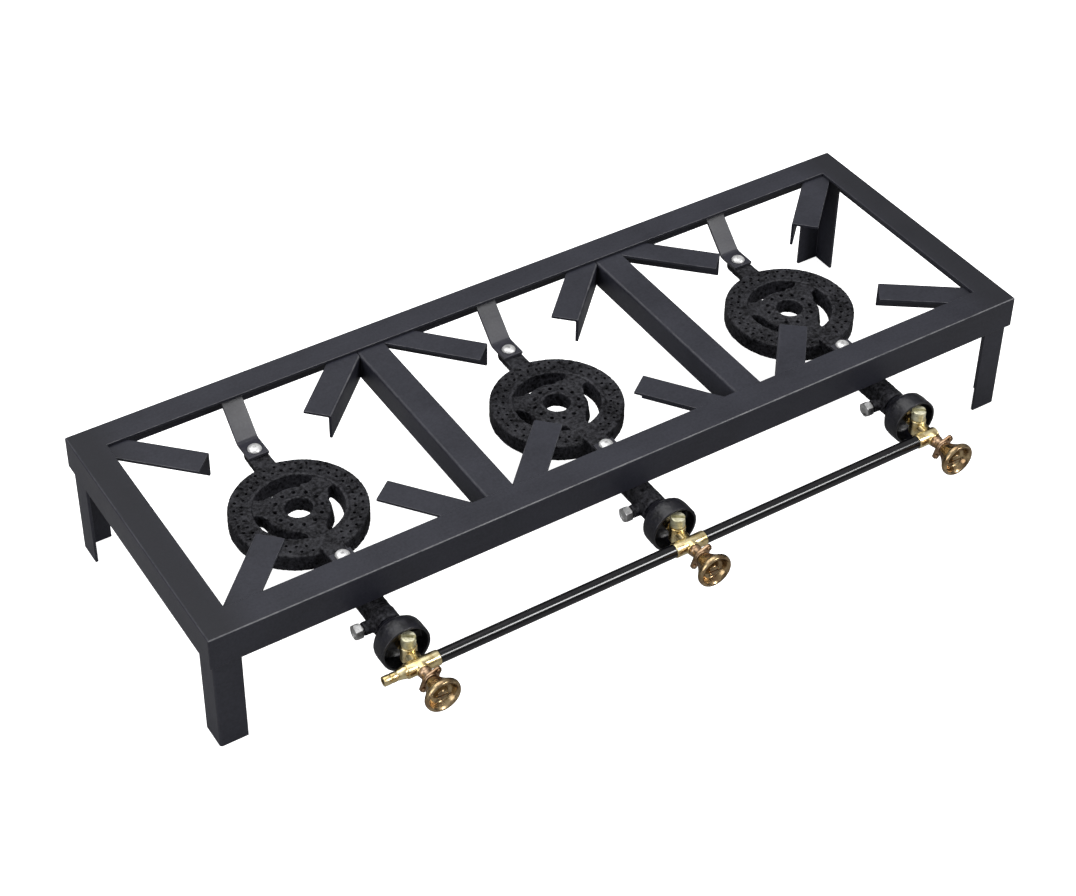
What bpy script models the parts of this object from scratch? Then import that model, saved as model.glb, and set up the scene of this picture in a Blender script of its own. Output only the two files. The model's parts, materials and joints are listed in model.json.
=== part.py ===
"""Triple-ring burner stand: a welded angle-iron stand carrying three cast-iron ring burners,
each fed by its own brass tap from a common manifold pipe.

Metres, +Z up. X runs along the stand, the taps are on the -Y side and the feet stand on Z = 0.
"""

import math

import bmesh
import bpy
from mathutils import Matrix, Vector

# ---- driving dimensions -------------------------------------------------------------------
FIT = 0.0003  # gap between touching pieces

FRAME_LENGTH = 0.900
FRAME_DEPTH = 0.304
FRAME_HEIGHT = 0.138
FRAME_Y = 0.057  # middle of the frame; the taps reach out in front of it
STEEL = 0.003  # wall of every angle section
FOLD_RADIUS = 0.0028
FOLD_STEPS = 5
RAIL_TOP = 0.030
RAIL_DROP = 0.035
BAR_TOP = 0.030
BAR_DROP = 0.028
BAR_X = 0.140  # middle of each cross bar, from the middle of the frame
ANGLE_SIDE = 0.028  # legs and pot supports

BURNER_PITCH = 0.286
BURNER_TOP = 0.092
BURNER_HEIGHT = 0.0185
RING_RADIUS = 0.066
RING_BORE = 0.044
HUB_RADIUS = 0.031
HUB_BORE = 0.0134
HUB_DROP = 0.0025
HUB_PORTS = 12
PORT_CIRCLE = 0.0225
PORT_RADIUS = 0.0022
PORT_DEPTH = 0.006
SPOKE_WIDTH = 0.020
SPOKE_ANGLES = (-90, 30, 150)
REAR_REACH = 0.0895  # lug screws, from the burner's middle
FRONT_REACH = 0.086
REAR_LUG_TOP = 0.091
FRONT_LUG_TOP = 0.097  # the front lug stands on the feed duct
LUG_WIDTH = 0.020
LUG_THICK = 0.008

STRAP_WIDTH = 0.022
STRAP_FOOT_END = 0.080
STRAP_BEND = 0.104
SCREW_RADIUS = 0.003
SCREW_HEAD_RADIUS = 0.007
SCREW_HEAD_HEIGHT = 0.0033
SCREW_RECESS_RADIUS = 0.0016
SCREW_RECESS_DEPTH = 0.0012
FRONT_THREAD = 0.0055  # how far a front lug screw reaches into the casting
NUT_THICK = 0.005
NUT_RADIUS = 0.0058
BURR = 0.005  # how far a cutter runs past the surface it opens

FEED_Z = 0.083  # common height of feed tube, mixer, tap and manifold axes
DUCT_RADIUS = 0.0085
DUCT_END = 0.117  # distances in front of the burner's middle
SOCKET_END = 0.170
SOCKET_RADIUS = 0.0126
SOCKET_DEPTH = 0.030
GAS_BORE = 0.0045
GAS_WAY_DROP = 0.0035  # the cast gas way lies this far under the feed axis
SET_SCREW_Y = 0.1605
SET_POINT_ROOM = 0.0015  # the set screw's hole ends this far inside the spigot's wall
SET_BOSS_RADIUS = 0.0062
SET_BOSS_REACH = 0.0215
SET_HEAD_GAP = 0.0020
SET_HEAD_LENGTH = 0.0070
SET_HEAD_RADIUS = 0.0076

SPIGOT_RADIUS = 0.0094
MIXER_NECK = 0.0120
THROAT_RADIUS = 0.0066
BELL_RADIUS = 0.0245
BELL_WALL = 0.003
BELL_BACK = 0.1805
BELL_MOUTH = 0.2015
BRIDGE_Y = 0.188
BRIDGE_THICK = 0.004
BRIDGE_HALF_WIDTH = 0.004
BRIDGE_RING_RADIUS = 0.009

PIPE_Y = 0.2235
PIPE_RADIUS = 0.0063
PIPE_BORE = 0.0048
TEE_RADIUS = 0.0072
TEE_HALF = 0.017
TEE_LONG = 0.019  # the left tap's reach towards its pipe
TEE_SHORT = 0.014  # and towards its inlet
NIPPLE_LENGTH = 0.008  # the taps' nipples inside the pipe ends
NIPPLE_BORE = 0.0028
COLUMN_Y = 0.2045
COLUMN_RADIUS = 0.0078
COLUMN_DROP = 0.0085  # below the feed axis
COLUMN_TOP = 0.0085  # above the feed axis
CORE_RADIUS = 0.0062
NECK_RADIUS = 0.0058
NECK_END = 0.2435
BONNET_THICK = 0.003
BONNET_EAR = 0.0112
STEM_RADIUS = 0.0034
INLET_RADIUS = 0.0045
INLET_REACH = 0.0365
INLET_BORE = 0.0026
PLUG_RADIUS = 0.0068
PLUG_HEIGHT = 0.0106
PLUG_SHANK = 0.0042
PLUG_SHANK_LENGTH = 0.0045
JET_RADIUS = 0.0042
JET_HEX_RADIUS = 0.0062
JET_ORIFICE = 0.0010

KNOB_RADIUS = 0.0175
KNOB_BACK = 0.2460
KNOB_FRONT = 0.2660

# Pot supports as fitted: tip from the burner's middle, the way the bar points from root to
# tip in degrees, and the side its upright flange hangs on (1 left of that way, -1 right).
POT_SUPPORTS = {
    "left_rear_left": (-0.066, 0.057, -45, 1),
    "left_rear_right": (0.055, 0.062, -136, 1),
    "left_front_left": (-0.059, -0.062, 45, 1),
    "left_front_right": (0.056, -0.061, 128, -1),
    "middle_rear_left": (-0.048, 0.059, -47, 1),
    "middle_rear_right": (0.048, 0.061, -135, 1),
    "middle_front_left": (-0.051, -0.062, 45, 1),
    "middle_front_right": (0.054, -0.060, 126, -1),
    "right_rear_left": (-0.052, 0.058, -45, 1),
    "right_rear_right": (0.062, 0.060, -136, -1),
    "right_front_left": (-0.051, -0.067, 50, 1),
    "right_front_right": (0.057, -0.068, 144, -1),
}

STATIONS = {"left": -BURNER_PITCH, "middle": 0.0, "right": BURNER_PITCH}

# Takes an outline drawn in XY to the YZ plane, so that its extrusion runs along X.
ALONG_X = Matrix(((0, 0, 1, 0), (1, 0, 0, 0), (0, 1, 0, 0), (0, 0, 0, 1)))

HOLE_SIDES = 12
TUBE_SIDES = 16
ROUND_SIDES = 20
RING_SIDES = 40


# ---- scene, collections and materials -----------------------------------------------------
def start_scene():
    """Empties the scene and returns the collections for parts and for cutters."""
    for obj in list(bpy.data.objects):
        bpy.data.objects.remove(obj)
    parts = bpy.data.collections.new("triple_ring_burner_stand")
    cutters = bpy.data.collections.new("cutters")
    for collection in (parts, cutters):
        bpy.context.scene.collection.children.link(collection)
    return parts, cutters


def material(name, colour, roughness, metallic):
    """A Principled material of one colour."""
    made = bpy.data.materials.new(name)
    made.use_nodes = True
    shader = made.node_tree.nodes["Principled BSDF"]
    shader.inputs["Base Color"].default_value = (*colour, 1.0)
    shader.inputs["Roughness"].default_value = roughness
    shader.inputs["Metallic"].default_value = metallic
    return made


def frame_paint():
    return material("frame_paint", (0.035, 0.035, 0.040), 0.50, 0.0)


def strap_paint():
    return material("strap_paint", (0.060, 0.060, 0.065), 0.40, 0.2)


def cast_iron():
    return material("cast_iron", (0.018, 0.018, 0.020), 0.70, 0.3)


def zinc_plate():
    return material("zinc_plate", (0.72, 0.72, 0.70), 0.28, 1.0)


def brass():
    return material("brass", (0.75, 0.56, 0.24), 0.25, 1.0)


def bronze():
    return material("knob_bronze", (0.58, 0.42, 0.22), 0.30, 1.0)


def gloss_black():
    return material("pipe_gloss_black", (0.008, 0.008, 0.010), 0.12, 0.0)


# ---- shape helpers ------------------------------------------------------------------------
def baked(obj):
    """Turns an object with its modifiers and transform into plain mesh data, and removes it."""
    graph = bpy.context.evaluated_depsgraph_get()
    mesh = bpy.data.meshes.new_from_object(obj.evaluated_get(graph))
    mesh.transform(obj.matrix_world)
    shape = bmesh.new()
    shape.from_mesh(mesh)
    bmesh.ops.remove_doubles(shape, verts=shape.verts, dist=1e-6)
    bmesh.ops.recalc_face_normals(shape, faces=shape.faces)
    shape.to_mesh(mesh)
    shape.free()
    bpy.data.objects.remove(obj)
    return mesh


def scratch(name, data, matrix=None):
    """A working object in the cutters collection."""
    obj = bpy.data.objects.new(name, data)
    CUTTERS.objects.link(obj)
    obj.hide_render = True
    obj.display_type = "WIRE"
    obj.matrix_world = matrix or Matrix()
    bpy.context.view_layer.update()
    return obj


def turned(profile, sides, matrix=None):
    """A solid of revolution about local Z from (radius, height) points, open at the axis."""
    mesh = bpy.data.meshes.new("profile")
    closed = profile[0][0] > 0 and profile[-1][0] > 0
    edges = [(i, i + 1) for i in range(len(profile) - 1)]
    if closed:
        edges.append((len(profile) - 1, 0))
    mesh.from_pydata([(r, 0, z) for r, z in profile], edges, [])
    obj = scratch("turned", mesh, matrix)
    screw = obj.modifiers.new("turn", "SCREW")
    screw.axis = "Z"
    screw.angle = math.tau
    screw.steps = sides
    screw.render_steps = sides
    screw.use_merge_vertices = True
    screw.merge_threshold = 1e-5
    return baked(obj)


def prism(points, thick, matrix=None):
    """A flat outline in local XY, extruded half its thickness to each side."""
    curve = bpy.data.curves.new("outline", "CURVE")
    curve.dimensions = "2D"
    curve.fill_mode = "BOTH"
    curve.extrude = thick / 2
    spline = curve.splines.new("POLY")
    spline.points.add(len(points) - 1)
    for point, (x, y) in zip(spline.points, points):
        point.co = (x, y, 0, 1)
    spline.use_cyclic_u = True
    return baked(scratch("prism", curve, matrix))


def cylinder(radius, start, end, sides, end_radius=None):
    """A closed cylinder or cone frustum from one point to another."""
    start = Vector(start)
    end = Vector(end)
    shape = bmesh.new()
    bmesh.ops.create_cone(
        shape,
        cap_ends=True,
        segments=sides,
        radius1=radius,
        radius2=radius if end_radius is None else end_radius,
        depth=(end - start).length,
    )
    turn = (end - start).to_track_quat("Z", "Y").to_matrix().to_4x4()
    stand = Matrix.Translation((start + end) / 2) @ turn
    bmesh.ops.transform(shape, matrix=stand, verts=shape.verts)
    mesh = bpy.data.meshes.new("cylinder")
    shape.to_mesh(mesh)
    shape.free()
    return mesh


def box(low, high):
    """A closed box between two corners."""
    low = Vector(low)
    high = Vector(high)
    shape = bmesh.new()
    bmesh.ops.create_cube(shape, size=1.0)
    stretch = Matrix.Translation((low + high) / 2) @ Matrix.Diagonal((*(high - low), 1.0))
    bmesh.ops.transform(shape, matrix=stretch, verts=shape.verts)
    mesh = bpy.data.meshes.new("box")
    shape.to_mesh(mesh)
    shape.free()
    return mesh


def combined(mesh, others, operation):
    """Joins, cuts or intersects a mesh with others, one after another."""
    for other in others:
        body = scratch("body", mesh)
        tool = scratch("tool", other)
        change = body.modifiers.new("combine", "BOOLEAN")
        change.operation = operation
        change.solver = "EXACT"
        change.object = tool
        bpy.context.view_layer.update()
        mesh = baked(body)
        bpy.data.objects.remove(tool)
    return mesh


def joined(mesh, *others):
    return combined(mesh, others, "UNION")


def cut(mesh, *others):
    return combined(mesh, others, "DIFFERENCE")


def place(name, mesh, finish, location=(0, 0, 0), turn_z=0.0, smooth=False):
    """Links one named part with its own material; parts of one shape share its mesh."""
    if not mesh.users:
        mesh.name = name
    if not mesh.materials:
        mesh.materials.append(finish)
    if smooth:
        mesh.shade_smooth()
        mesh.set_sharp_from_angle(angle=math.radians(35))
    obj = bpy.data.objects.new(name, mesh)
    PARTS.objects.link(obj)
    obj.location = location
    obj.rotation_euler = (0, 0, turn_z)
    return obj


def arc(centre, radius, start, end, steps):
    """Points on an arc, angles in degrees."""
    cx, cy = centre
    turns = [math.radians(start + (end - start) * i / steps) for i in range(steps + 1)]
    return [(cx + radius * math.cos(t), cy + radius * math.sin(t)) for t in turns]


def facing(axis, origin=(0, 0, 0)):
    """A transform that stands local Z on the given direction."""
    turn = Vector(axis).to_track_quat("Z", "Y").to_matrix().to_4x4()
    return Matrix.Translation(origin) @ turn


# ---- frame --------------------------------------------------------------------------------
def angle_outline(top, drop):
    """Angle section: the fold at the origin, the top flange along +X, the other down -Y."""
    outer = arc((FOLD_RADIUS, -FOLD_RADIUS), FOLD_RADIUS, 180, 90, FOLD_STEPS)
    return outer + [(top, 0), (top, -STEEL), (STEEL, -STEEL), (STEEL, -drop), (0, -drop)]


def angle_along_x(length, top, drop):
    """Angle bar along X: outer upright face on local Y = 0 facing -Y, top flange at Z = 0."""
    return prism(angle_outline(top, drop), length, ALONG_X)


def mitred(mesh, length):
    """Cuts both ends back at 45 degrees, with half a fit gap at each mitre."""
    for vertex in mesh.vertices:
        side = 1 if vertex.co.x > 0 else -1
        vertex.co.x = side * (length / 2 - vertex.co.y - FIT / 2)
    return mesh


def make_rails(finish):
    long_rail = mitred(angle_along_x(FRAME_LENGTH, RAIL_TOP, RAIL_DROP), FRAME_LENGTH)
    short_rail = mitred(angle_along_x(FRAME_DEPTH, RAIL_TOP, RAIL_DROP), FRAME_DEPTH)
    half_depth = FRAME_DEPTH / 2
    half_length = FRAME_LENGTH / 2
    place("front_rail", long_rail, finish, (0, FRAME_Y - half_depth, FRAME_HEIGHT), 0)
    place("rear_rail", long_rail, finish, (0, FRAME_Y + half_depth, FRAME_HEIGHT), math.pi)
    place("left_rail", short_rail, finish, (-half_length, FRAME_Y, FRAME_HEIGHT), -math.pi / 2)
    place("right_rail", short_rail, finish, (half_length, FRAME_Y, FRAME_HEIGHT), math.pi / 2)


def make_cross_bars(finish):
    length = FRAME_DEPTH - 2 * (STEEL + FIT)
    bar = angle_along_x(length, BAR_TOP, BAR_DROP)
    top = FRAME_HEIGHT - STEEL - FIT
    for name, middle in (("left_cross_bar", -BAR_X), ("right_cross_bar", BAR_X)):
        place(name, bar, finish, (middle - BAR_TOP / 2, FRAME_Y, top), -math.pi / 2)


def make_legs(finish):
    top = FRAME_HEIGHT - STEEL - FIT
    stand = Matrix.Translation((0, 0, top / 2)) @ Matrix.Rotation(math.pi / 2, 4, "Z")
    leg = prism(angle_outline(ANGLE_SIDE, ANGLE_SIDE), top, stand)
    reach_x = FRAME_LENGTH / 2 - STEEL - FIT
    reach_y = FRAME_DEPTH / 2 - STEEL - FIT
    corners = {
        "front_left_leg": (-1, -1, 0),
        "front_right_leg": (1, -1, math.pi / 2),
        "rear_right_leg": (1, 1, math.pi),
        "rear_left_leg": (-1, 1, -math.pi / 2),
    }
    for name, (side_x, side_y, turn) in corners.items():
        place(name, leg, finish, (side_x * reach_x, FRAME_Y + side_y * reach_y, 0), turn)


def window_limits(station):
    """The room a pot support has inside its window, under the rails."""
    nested = 2 * (STEEL + FIT) + FIT
    outer = FRAME_LENGTH / 2 - nested
    near = BAR_X + BAR_TOP / 2 + FIT
    inner = BAR_X - BAR_TOP / 2 - FIT
    spans = {"left": (-outer, -near), "middle": (-inner, inner), "right": (near, outer)}
    half_depth = FRAME_DEPTH / 2 - nested
    return spans[station], (FRAME_Y - half_depth, FRAME_Y + half_depth)


def make_pot_supports(finish):
    top = FRAME_HEIGHT - STEEL - FIT
    length = 0.160  # longer than needed: each bar is cut off where it meets the frame
    for name, (tip_x, tip_y, way, flange_side) in POT_SUPPORTS.items():
        station = name.split("_")[0]
        bar = angle_along_x(length, ANGLE_SIDE, ANGLE_SIDE)
        centred = Matrix.Translation((-length / 2, -ANGLE_SIDE / 2, 0))
        if flange_side > 0:
            centred = centred @ Matrix.Rotation(math.pi, 4, "Z") @ Matrix.Translation((0, -ANGLE_SIDE, 0))
        tip = Matrix.Translation((STATIONS[station] + tip_x, FRAME_Y + tip_y, top))
        bar.transform(tip @ Matrix.Rotation(math.radians(way), 4, "Z") @ centred)
        (x_low, x_high), (y_low, y_high) = window_limits(station)
        room = box((x_low, y_low, 0), (x_high, y_high, FRAME_HEIGHT))
        place(f"pot_support_{name}", combined(bar, [room], "INTERSECT"), finish)


# ---- burners and their straps -------------------------------------------------------------
def lug(reach, root, low, top, turn_z):
    """A flat arm with a rounded end, reaching along Y from the ring's rim."""
    outline = [(LUG_WIDTH / 2, root)]
    outline += arc((0, reach + 0.002), LUG_WIDTH / 2, 0, 180, 8)
    outline += [(-LUG_WIDTH / 2, root)]
    stand = Matrix.Translation((0, 0, (low + top) / 2)) @ Matrix.Rotation(turn_z, 4, "Z")
    return prism(outline, top - low, stand)


def lugs():
    """The thin rear lug and the tall front one that stands on the feed duct."""
    low = REAR_LUG_TOP - LUG_THICK
    rear = lug(REAR_REACH, RING_RADIUS - 0.010, low, REAR_LUG_TOP, 0)
    front = lug(FRONT_REACH, RING_RADIUS - 0.004, low, FRONT_LUG_TOP, math.pi)
    return rear, front


def burner_ring():
    bottom = BURNER_TOP - BURNER_HEIGHT
    edge = 0.0015
    profile = [
        (RING_BORE, BURNER_TOP),
        (RING_RADIUS - edge, BURNER_TOP),
        (RING_RADIUS, BURNER_TOP - edge),
        (RING_RADIUS, bottom),
        (RING_BORE, bottom),
    ]
    return turned(profile, RING_SIDES)


def burner_hub():
    top = BURNER_TOP - HUB_DROP
    bottom = BURNER_TOP - BURNER_HEIGHT
    profile = [(HUB_BORE, top), (HUB_RADIUS, top), (HUB_RADIUS, bottom), (HUB_BORE, bottom)]
    return turned(profile, ROUND_SIDES)


def burner_spoke(angle):
    top = BURNER_TOP - HUB_DROP / 2
    bottom = BURNER_TOP - BURNER_HEIGHT + 0.001
    low = (HUB_RADIUS - 0.004, -SPOKE_WIDTH / 2, bottom)
    high = (RING_BORE + 0.004, SPOKE_WIDTH / 2, top)
    spoke = box(low, high)
    spoke.transform(Matrix.Rotation(math.radians(angle), 4, "Z"))
    return spoke


def feed_duct():
    """The cast tube from the ring's front to the mixer socket, with the set screw's boss."""
    duct_z = BURNER_TOP - BURNER_HEIGHT + DUCT_RADIUS
    start = RING_RADIUS - 0.008
    duct = cylinder(DUCT_RADIUS, (0, -start, duct_z), (0, -DUCT_END - 0.004, duct_z), TUBE_SIDES)
    socket_start = (0, -DUCT_END, FEED_Z)
    socket = cylinder(SOCKET_RADIUS, socket_start, (0, -SOCKET_END, FEED_Z), ROUND_SIDES)
    boss = cylinder(
        SET_BOSS_RADIUS,
        (-SOCKET_RADIUS + 0.005, -SET_SCREW_Y, FEED_Z),
        (-SET_BOSS_REACH, -SET_SCREW_Y, FEED_Z),
        TUBE_SIDES,
    )
    return joined(socket, duct, boss)


def hub_ports():
    top = BURNER_TOP - HUB_DROP
    ports = []
    for index in range(HUB_PORTS):
        turn = math.tau * (index + 0.5) / HUB_PORTS
        x = PORT_CIRCLE * math.cos(turn)
        y = PORT_CIRCLE * math.sin(turn)
        ports.append(cylinder(PORT_RADIUS, (x, y, top - PORT_DEPTH), (x, y, top + 0.002), 6))
    return ports


def burner_mesh():
    """One casting, its origin on the burner's middle at floor level."""
    spokes = [burner_spoke(angle) for angle in SPOKE_ANGLES]
    casting = joined(burner_ring(), *spokes, burner_hub(), *lugs(), feed_duct())
    gas_z = FEED_Z - GAS_WAY_DROP
    socket_floor = -SOCKET_END + SOCKET_DEPTH
    gas_start = (0, -(HUB_BORE + HUB_RADIUS) / 2, gas_z)
    gas_way = cylinder(GAS_BORE, gas_start, (0, socket_floor - BURR, gas_z), HOLE_SIDES)
    socket_end = (0, -SOCKET_END - BURR, FEED_Z)
    socket = cylinder(SPIGOT_RADIUS + FIT, (0, socket_floor, FEED_Z), socket_end, ROUND_SIDES)
    set_start = (-SPIGOT_RADIUS + SET_POINT_ROOM, -SET_SCREW_Y, FEED_Z)
    set_end = (-SET_BOSS_REACH - BURR, -SET_SCREW_Y, FEED_Z)
    set_hole = cylinder(SCREW_RADIUS + FIT, set_start, set_end, HOLE_SIDES)
    rear_low = (0, REAR_REACH, REAR_LUG_TOP - LUG_THICK - BURR)
    rear_high = (0, REAR_REACH, REAR_LUG_TOP + BURR)
    rear_hole = cylinder(SCREW_RADIUS + FIT, rear_low, rear_high, HOLE_SIDES)
    front_low = (0, -FRONT_REACH, FRONT_LUG_TOP - FRONT_THREAD - FIT)
    front_high = (0, -FRONT_REACH, FRONT_LUG_TOP + BURR)
    front_hole = cylinder(SCREW_RADIUS + FIT, front_low, front_high, HOLE_SIDES)
    return cut(casting, gas_way, socket, set_hole, rear_hole, front_hole, *hub_ports())


def strap_mesh(foot_low, hole_y):
    """A flat bar towards +Y: flat foot, 45 degree rise, welded under the rail's flange."""
    under = FRAME_HEIGHT - STEEL - FIT
    bend_offset = STEEL * math.tan(math.radians(22.5))
    low_bend = STRAP_BEND + bend_offset
    top_bend = low_bend + under - STEEL - foot_low
    strap_end = top_bend + 0.001
    outline = [
        (STRAP_FOOT_END, foot_low),
        (low_bend, foot_low),
        (top_bend, under - STEEL),
        (strap_end, under - STEEL),
        (strap_end, under),
        (top_bend - bend_offset, under),
        (STRAP_BEND, foot_low + STEEL),
        (STRAP_FOOT_END, foot_low + STEEL),
    ]
    strap = prism(outline, STRAP_WIDTH, ALONG_X)
    hole_low = (0, hole_y, foot_low - BURR)
    hole_high = (0, hole_y, foot_low + STEEL + BURR)
    return cut(strap, cylinder(SCREW_RADIUS + FIT, hole_low, hole_high, HOLE_SIDES))


def lug_screw_mesh(length):
    """Pan-head screw, its origin under the head, pointing down."""
    head = SCREW_HEAD_RADIUS
    profile = [
        (0, SCREW_HEAD_HEIGHT),
        (0.55 * head, 0.88 * SCREW_HEAD_HEIGHT),
        (0.86 * head, 0.55 * SCREW_HEAD_HEIGHT),
        (head, 0.15 * SCREW_HEAD_HEIGHT),
        (head, 0),
        (SCREW_RADIUS, 0),
        (SCREW_RADIUS, -length),
        (0, -length),
    ]
    screw = turned(profile, HOLE_SIDES)
    floor = (0, 0, SCREW_HEAD_HEIGHT - SCREW_RECESS_DEPTH)
    return cut(screw, cylinder(SCREW_RECESS_RADIUS, floor, (0, 0, SCREW_HEAD_HEIGHT + BURR), 6))


def nut_mesh():
    """Hex nut standing on its origin."""
    nut = cylinder(NUT_RADIUS, (0, 0, 0), (0, 0, NUT_THICK), 6)
    bore = cylinder(SCREW_RADIUS + FIT, (0, 0, -BURR), (0, 0, NUT_THICK + BURR), HOLE_SIDES)
    return cut(nut, bore)


def make_burners(iron, strap_finish, zinc):
    burner = burner_mesh()
    rear_strap = strap_mesh(REAR_LUG_TOP + FIT, REAR_REACH)
    front_strap = strap_mesh(FRONT_LUG_TOP + FIT, FRONT_REACH)
    seat = STEEL + 2 * FIT  # underside of a screw's head, above its lug
    past_nut = NUT_THICK + 0.002
    rear_screw = lug_screw_mesh(seat + LUG_THICK + past_nut)
    front_screw = lug_screw_mesh(seat + FRONT_THREAD)
    nut = nut_mesh()
    for station, x in STATIONS.items():
        place(f"{station}_burner", burner, iron, (x, FRAME_Y, 0), smooth=True)
        place(f"{station}_rear_strap", rear_strap, strap_finish, (x, FRAME_Y, 0))
        place(f"{station}_front_strap", front_strap, strap_finish, (x, FRAME_Y, 0), math.pi)
        rear = (x, FRAME_Y + REAR_REACH, REAR_LUG_TOP + seat)
        front = (x, FRAME_Y - FRONT_REACH, FRONT_LUG_TOP + seat)
        under = (x, FRAME_Y + REAR_REACH, REAR_LUG_TOP - LUG_THICK - FIT - NUT_THICK)
        place(f"{station}_rear_lug_screw", rear_screw, zinc, rear, smooth=True)
        place(f"{station}_front_lug_screw", front_screw, zinc, front, smooth=True)
        place(f"{station}_rear_lug_nut", nut, zinc, under)


# ---- mixers -------------------------------------------------------------------------------
def mixer_mesh():
    """Spigot, neck and open bell about local Z, which points out of the mouth."""
    throat = THROAT_RADIUS
    spigot_end = SOCKET_END - SOCKET_DEPTH + 0.002
    shoulder = SOCKET_END + FIT
    inner = BELL_RADIUS - BELL_WALL
    profile = [
        (throat, spigot_end),
        (SPIGOT_RADIUS, spigot_end),
        (SPIGOT_RADIUS, shoulder),
        (MIXER_NECK, shoulder),
        (MIXER_NECK, shoulder + 0.002),
        (BELL_RADIUS - 0.006, BELL_BACK - 0.001),
        (BELL_RADIUS - 0.0015, BELL_BACK + 0.001),
        (BELL_RADIUS, BELL_BACK + 0.003),
        (BELL_RADIUS, BELL_MOUTH),
        (inner, BELL_MOUTH),
        (inner, BELL_BACK + 0.006),
        (inner - 0.004, BELL_BACK + 0.003),
        (throat, BELL_BACK),
    ]
    bell = turned(profile, ROUND_SIDES)
    half = BRIDGE_THICK / 2
    low = (-inner - 0.001, -BRIDGE_HALF_WIDTH, BRIDGE_Y - half)
    high = (inner + 0.001, BRIDGE_HALF_WIDTH, BRIDGE_Y + half)
    back = (0, 0, BRIDGE_Y - half)
    front = (0, 0, BRIDGE_Y + half)
    ring = cylinder(BRIDGE_RING_RADIUS, back, front, HOLE_SIDES)
    hole_back = (0, 0, BRIDGE_Y - half - BURR)
    hole = cylinder(JET_RADIUS + FIT, hole_back, (0, 0, BRIDGE_Y + half + BURR), HOLE_SIDES)
    made = cut(joined(bell, joined(box(low, high), ring)), hole)
    made.transform(facing((0, -1, 0)))
    return made


def set_screw_mesh():
    """Hex-head screw on local X, its origin on the mixer's axis."""
    tip = SPIGOT_RADIUS + FIT
    head_start = SET_BOSS_REACH + SET_HEAD_GAP
    head_end = head_start + SET_HEAD_LENGTH
    shank = cylinder(SCREW_RADIUS, (-tip, 0, 0), (-head_start - 0.001, 0, 0), HOLE_SIDES)
    head = cylinder(SET_HEAD_RADIUS, (-head_start, 0, 0), (-head_end, 0, 0), 6)
    return joined(head, shank)


def make_mixers(iron, zinc):
    mixer = mixer_mesh()
    set_screw = set_screw_mesh()
    for station, x in STATIONS.items():
        place(f"{station}_mixer_bell", mixer, iron, (x, FRAME_Y, FEED_Z), smooth=True)
        place(f"{station}_set_screw", set_screw, zinc, (x, FRAME_Y - SET_SCREW_Y, FEED_Z))


# ---- taps, knobs and manifold -------------------------------------------------------------
def bonnet_mesh():
    """Oval two-eared plate that closes the front of a tap."""
    ear_radius = 0.0032
    outline = arc((BONNET_EAR, 0), ear_radius, -70, 70, 4)
    outline += arc((-BONNET_EAR, 0), ear_radius, 110, 250, 4)
    plate = prism(outline, BONNET_THICK)
    half = BONNET_THICK / 2
    hub = cylinder(0.0078, (0, 0, -half), (0, 0, half), TUBE_SIDES)
    made = joined(hub, plate)
    upright = Matrix.Rotation(math.pi / 2, 4, "X") @ Matrix.Rotation(math.radians(45), 4, "Z")
    made.transform(Matrix.Translation((0, half - (NECK_END - PIPE_Y), 0)) @ upright)
    return made


def tap_mesh(left_end, right_end, left_open, right_open, inlet):
    """Brass tap body, its origin where the manifold and stem axes cross."""
    column_y = PIPE_Y - COLUMN_Y
    neck_y = -(NECK_END - PIPE_Y)
    run = cylinder(TEE_RADIUS, (-left_end, 0, 0), (right_end, 0, 0), TUBE_SIDES)
    core = cylinder(CORE_RADIUS, (0, 0, 0), (0, column_y, 0), TUBE_SIDES)
    column_low = (0, column_y, -COLUMN_DROP)
    column = cylinder(COLUMN_RADIUS, column_low, (0, column_y, COLUMN_TOP), TUBE_SIDES)
    neck = cylinder(NECK_RADIUS, (0, 0, 0), (0, neck_y, 0), TUBE_SIDES)
    body = joined(run, core, column, neck, bonnet_mesh())
    ends = [(-1, left_end)] * left_open + [(1, right_end)] * right_open
    for side, end in ends:
        root = (side * (end - BURR), 0, 0)
        tip = (side * (end + NIPPLE_LENGTH), 0, 0)
        body = joined(body, cylinder(PIPE_BORE - FIT, root, tip, TUBE_SIDES))
    if inlet:
        nipple = cylinder(INLET_RADIUS, (-left_end + BURR, 0, 0), (-INLET_REACH, 0, 0), HOLE_SIDES)
        body = joined(body, nipple)
    plug_floor = (0, column_y, COLUMN_TOP - PLUG_SHANK_LENGTH - FIT)
    cutters = [
        cylinder(STEM_RADIUS + FIT, (0, 0, 0), (0, neck_y - BURR, 0), HOLE_SIDES),
        cylinder(JET_RADIUS + FIT, (0, column_y, 0), (0, column_y + 3 * BURR, 0), HOLE_SIDES),
        cylinder(PLUG_SHANK + FIT, plug_floor, (0, column_y, COLUMN_TOP + BURR), HOLE_SIDES),
    ]
    for side, end in ends:
        floor = (side * (end - 2 * BURR), 0, 0)
        past = (side * (end + NIPPLE_LENGTH + BURR), 0, 0)
        cutters.append(cylinder(NIPPLE_BORE, floor, past, HOLE_SIDES))
    if inlet:
        inlet_floor = (-left_end + 0.006, 0, 0)
        cutters.append(cylinder(INLET_BORE, inlet_floor, (-INLET_REACH - BURR, 0, 0), HOLE_SIDES))
    return cut(body, *cutters)


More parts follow.
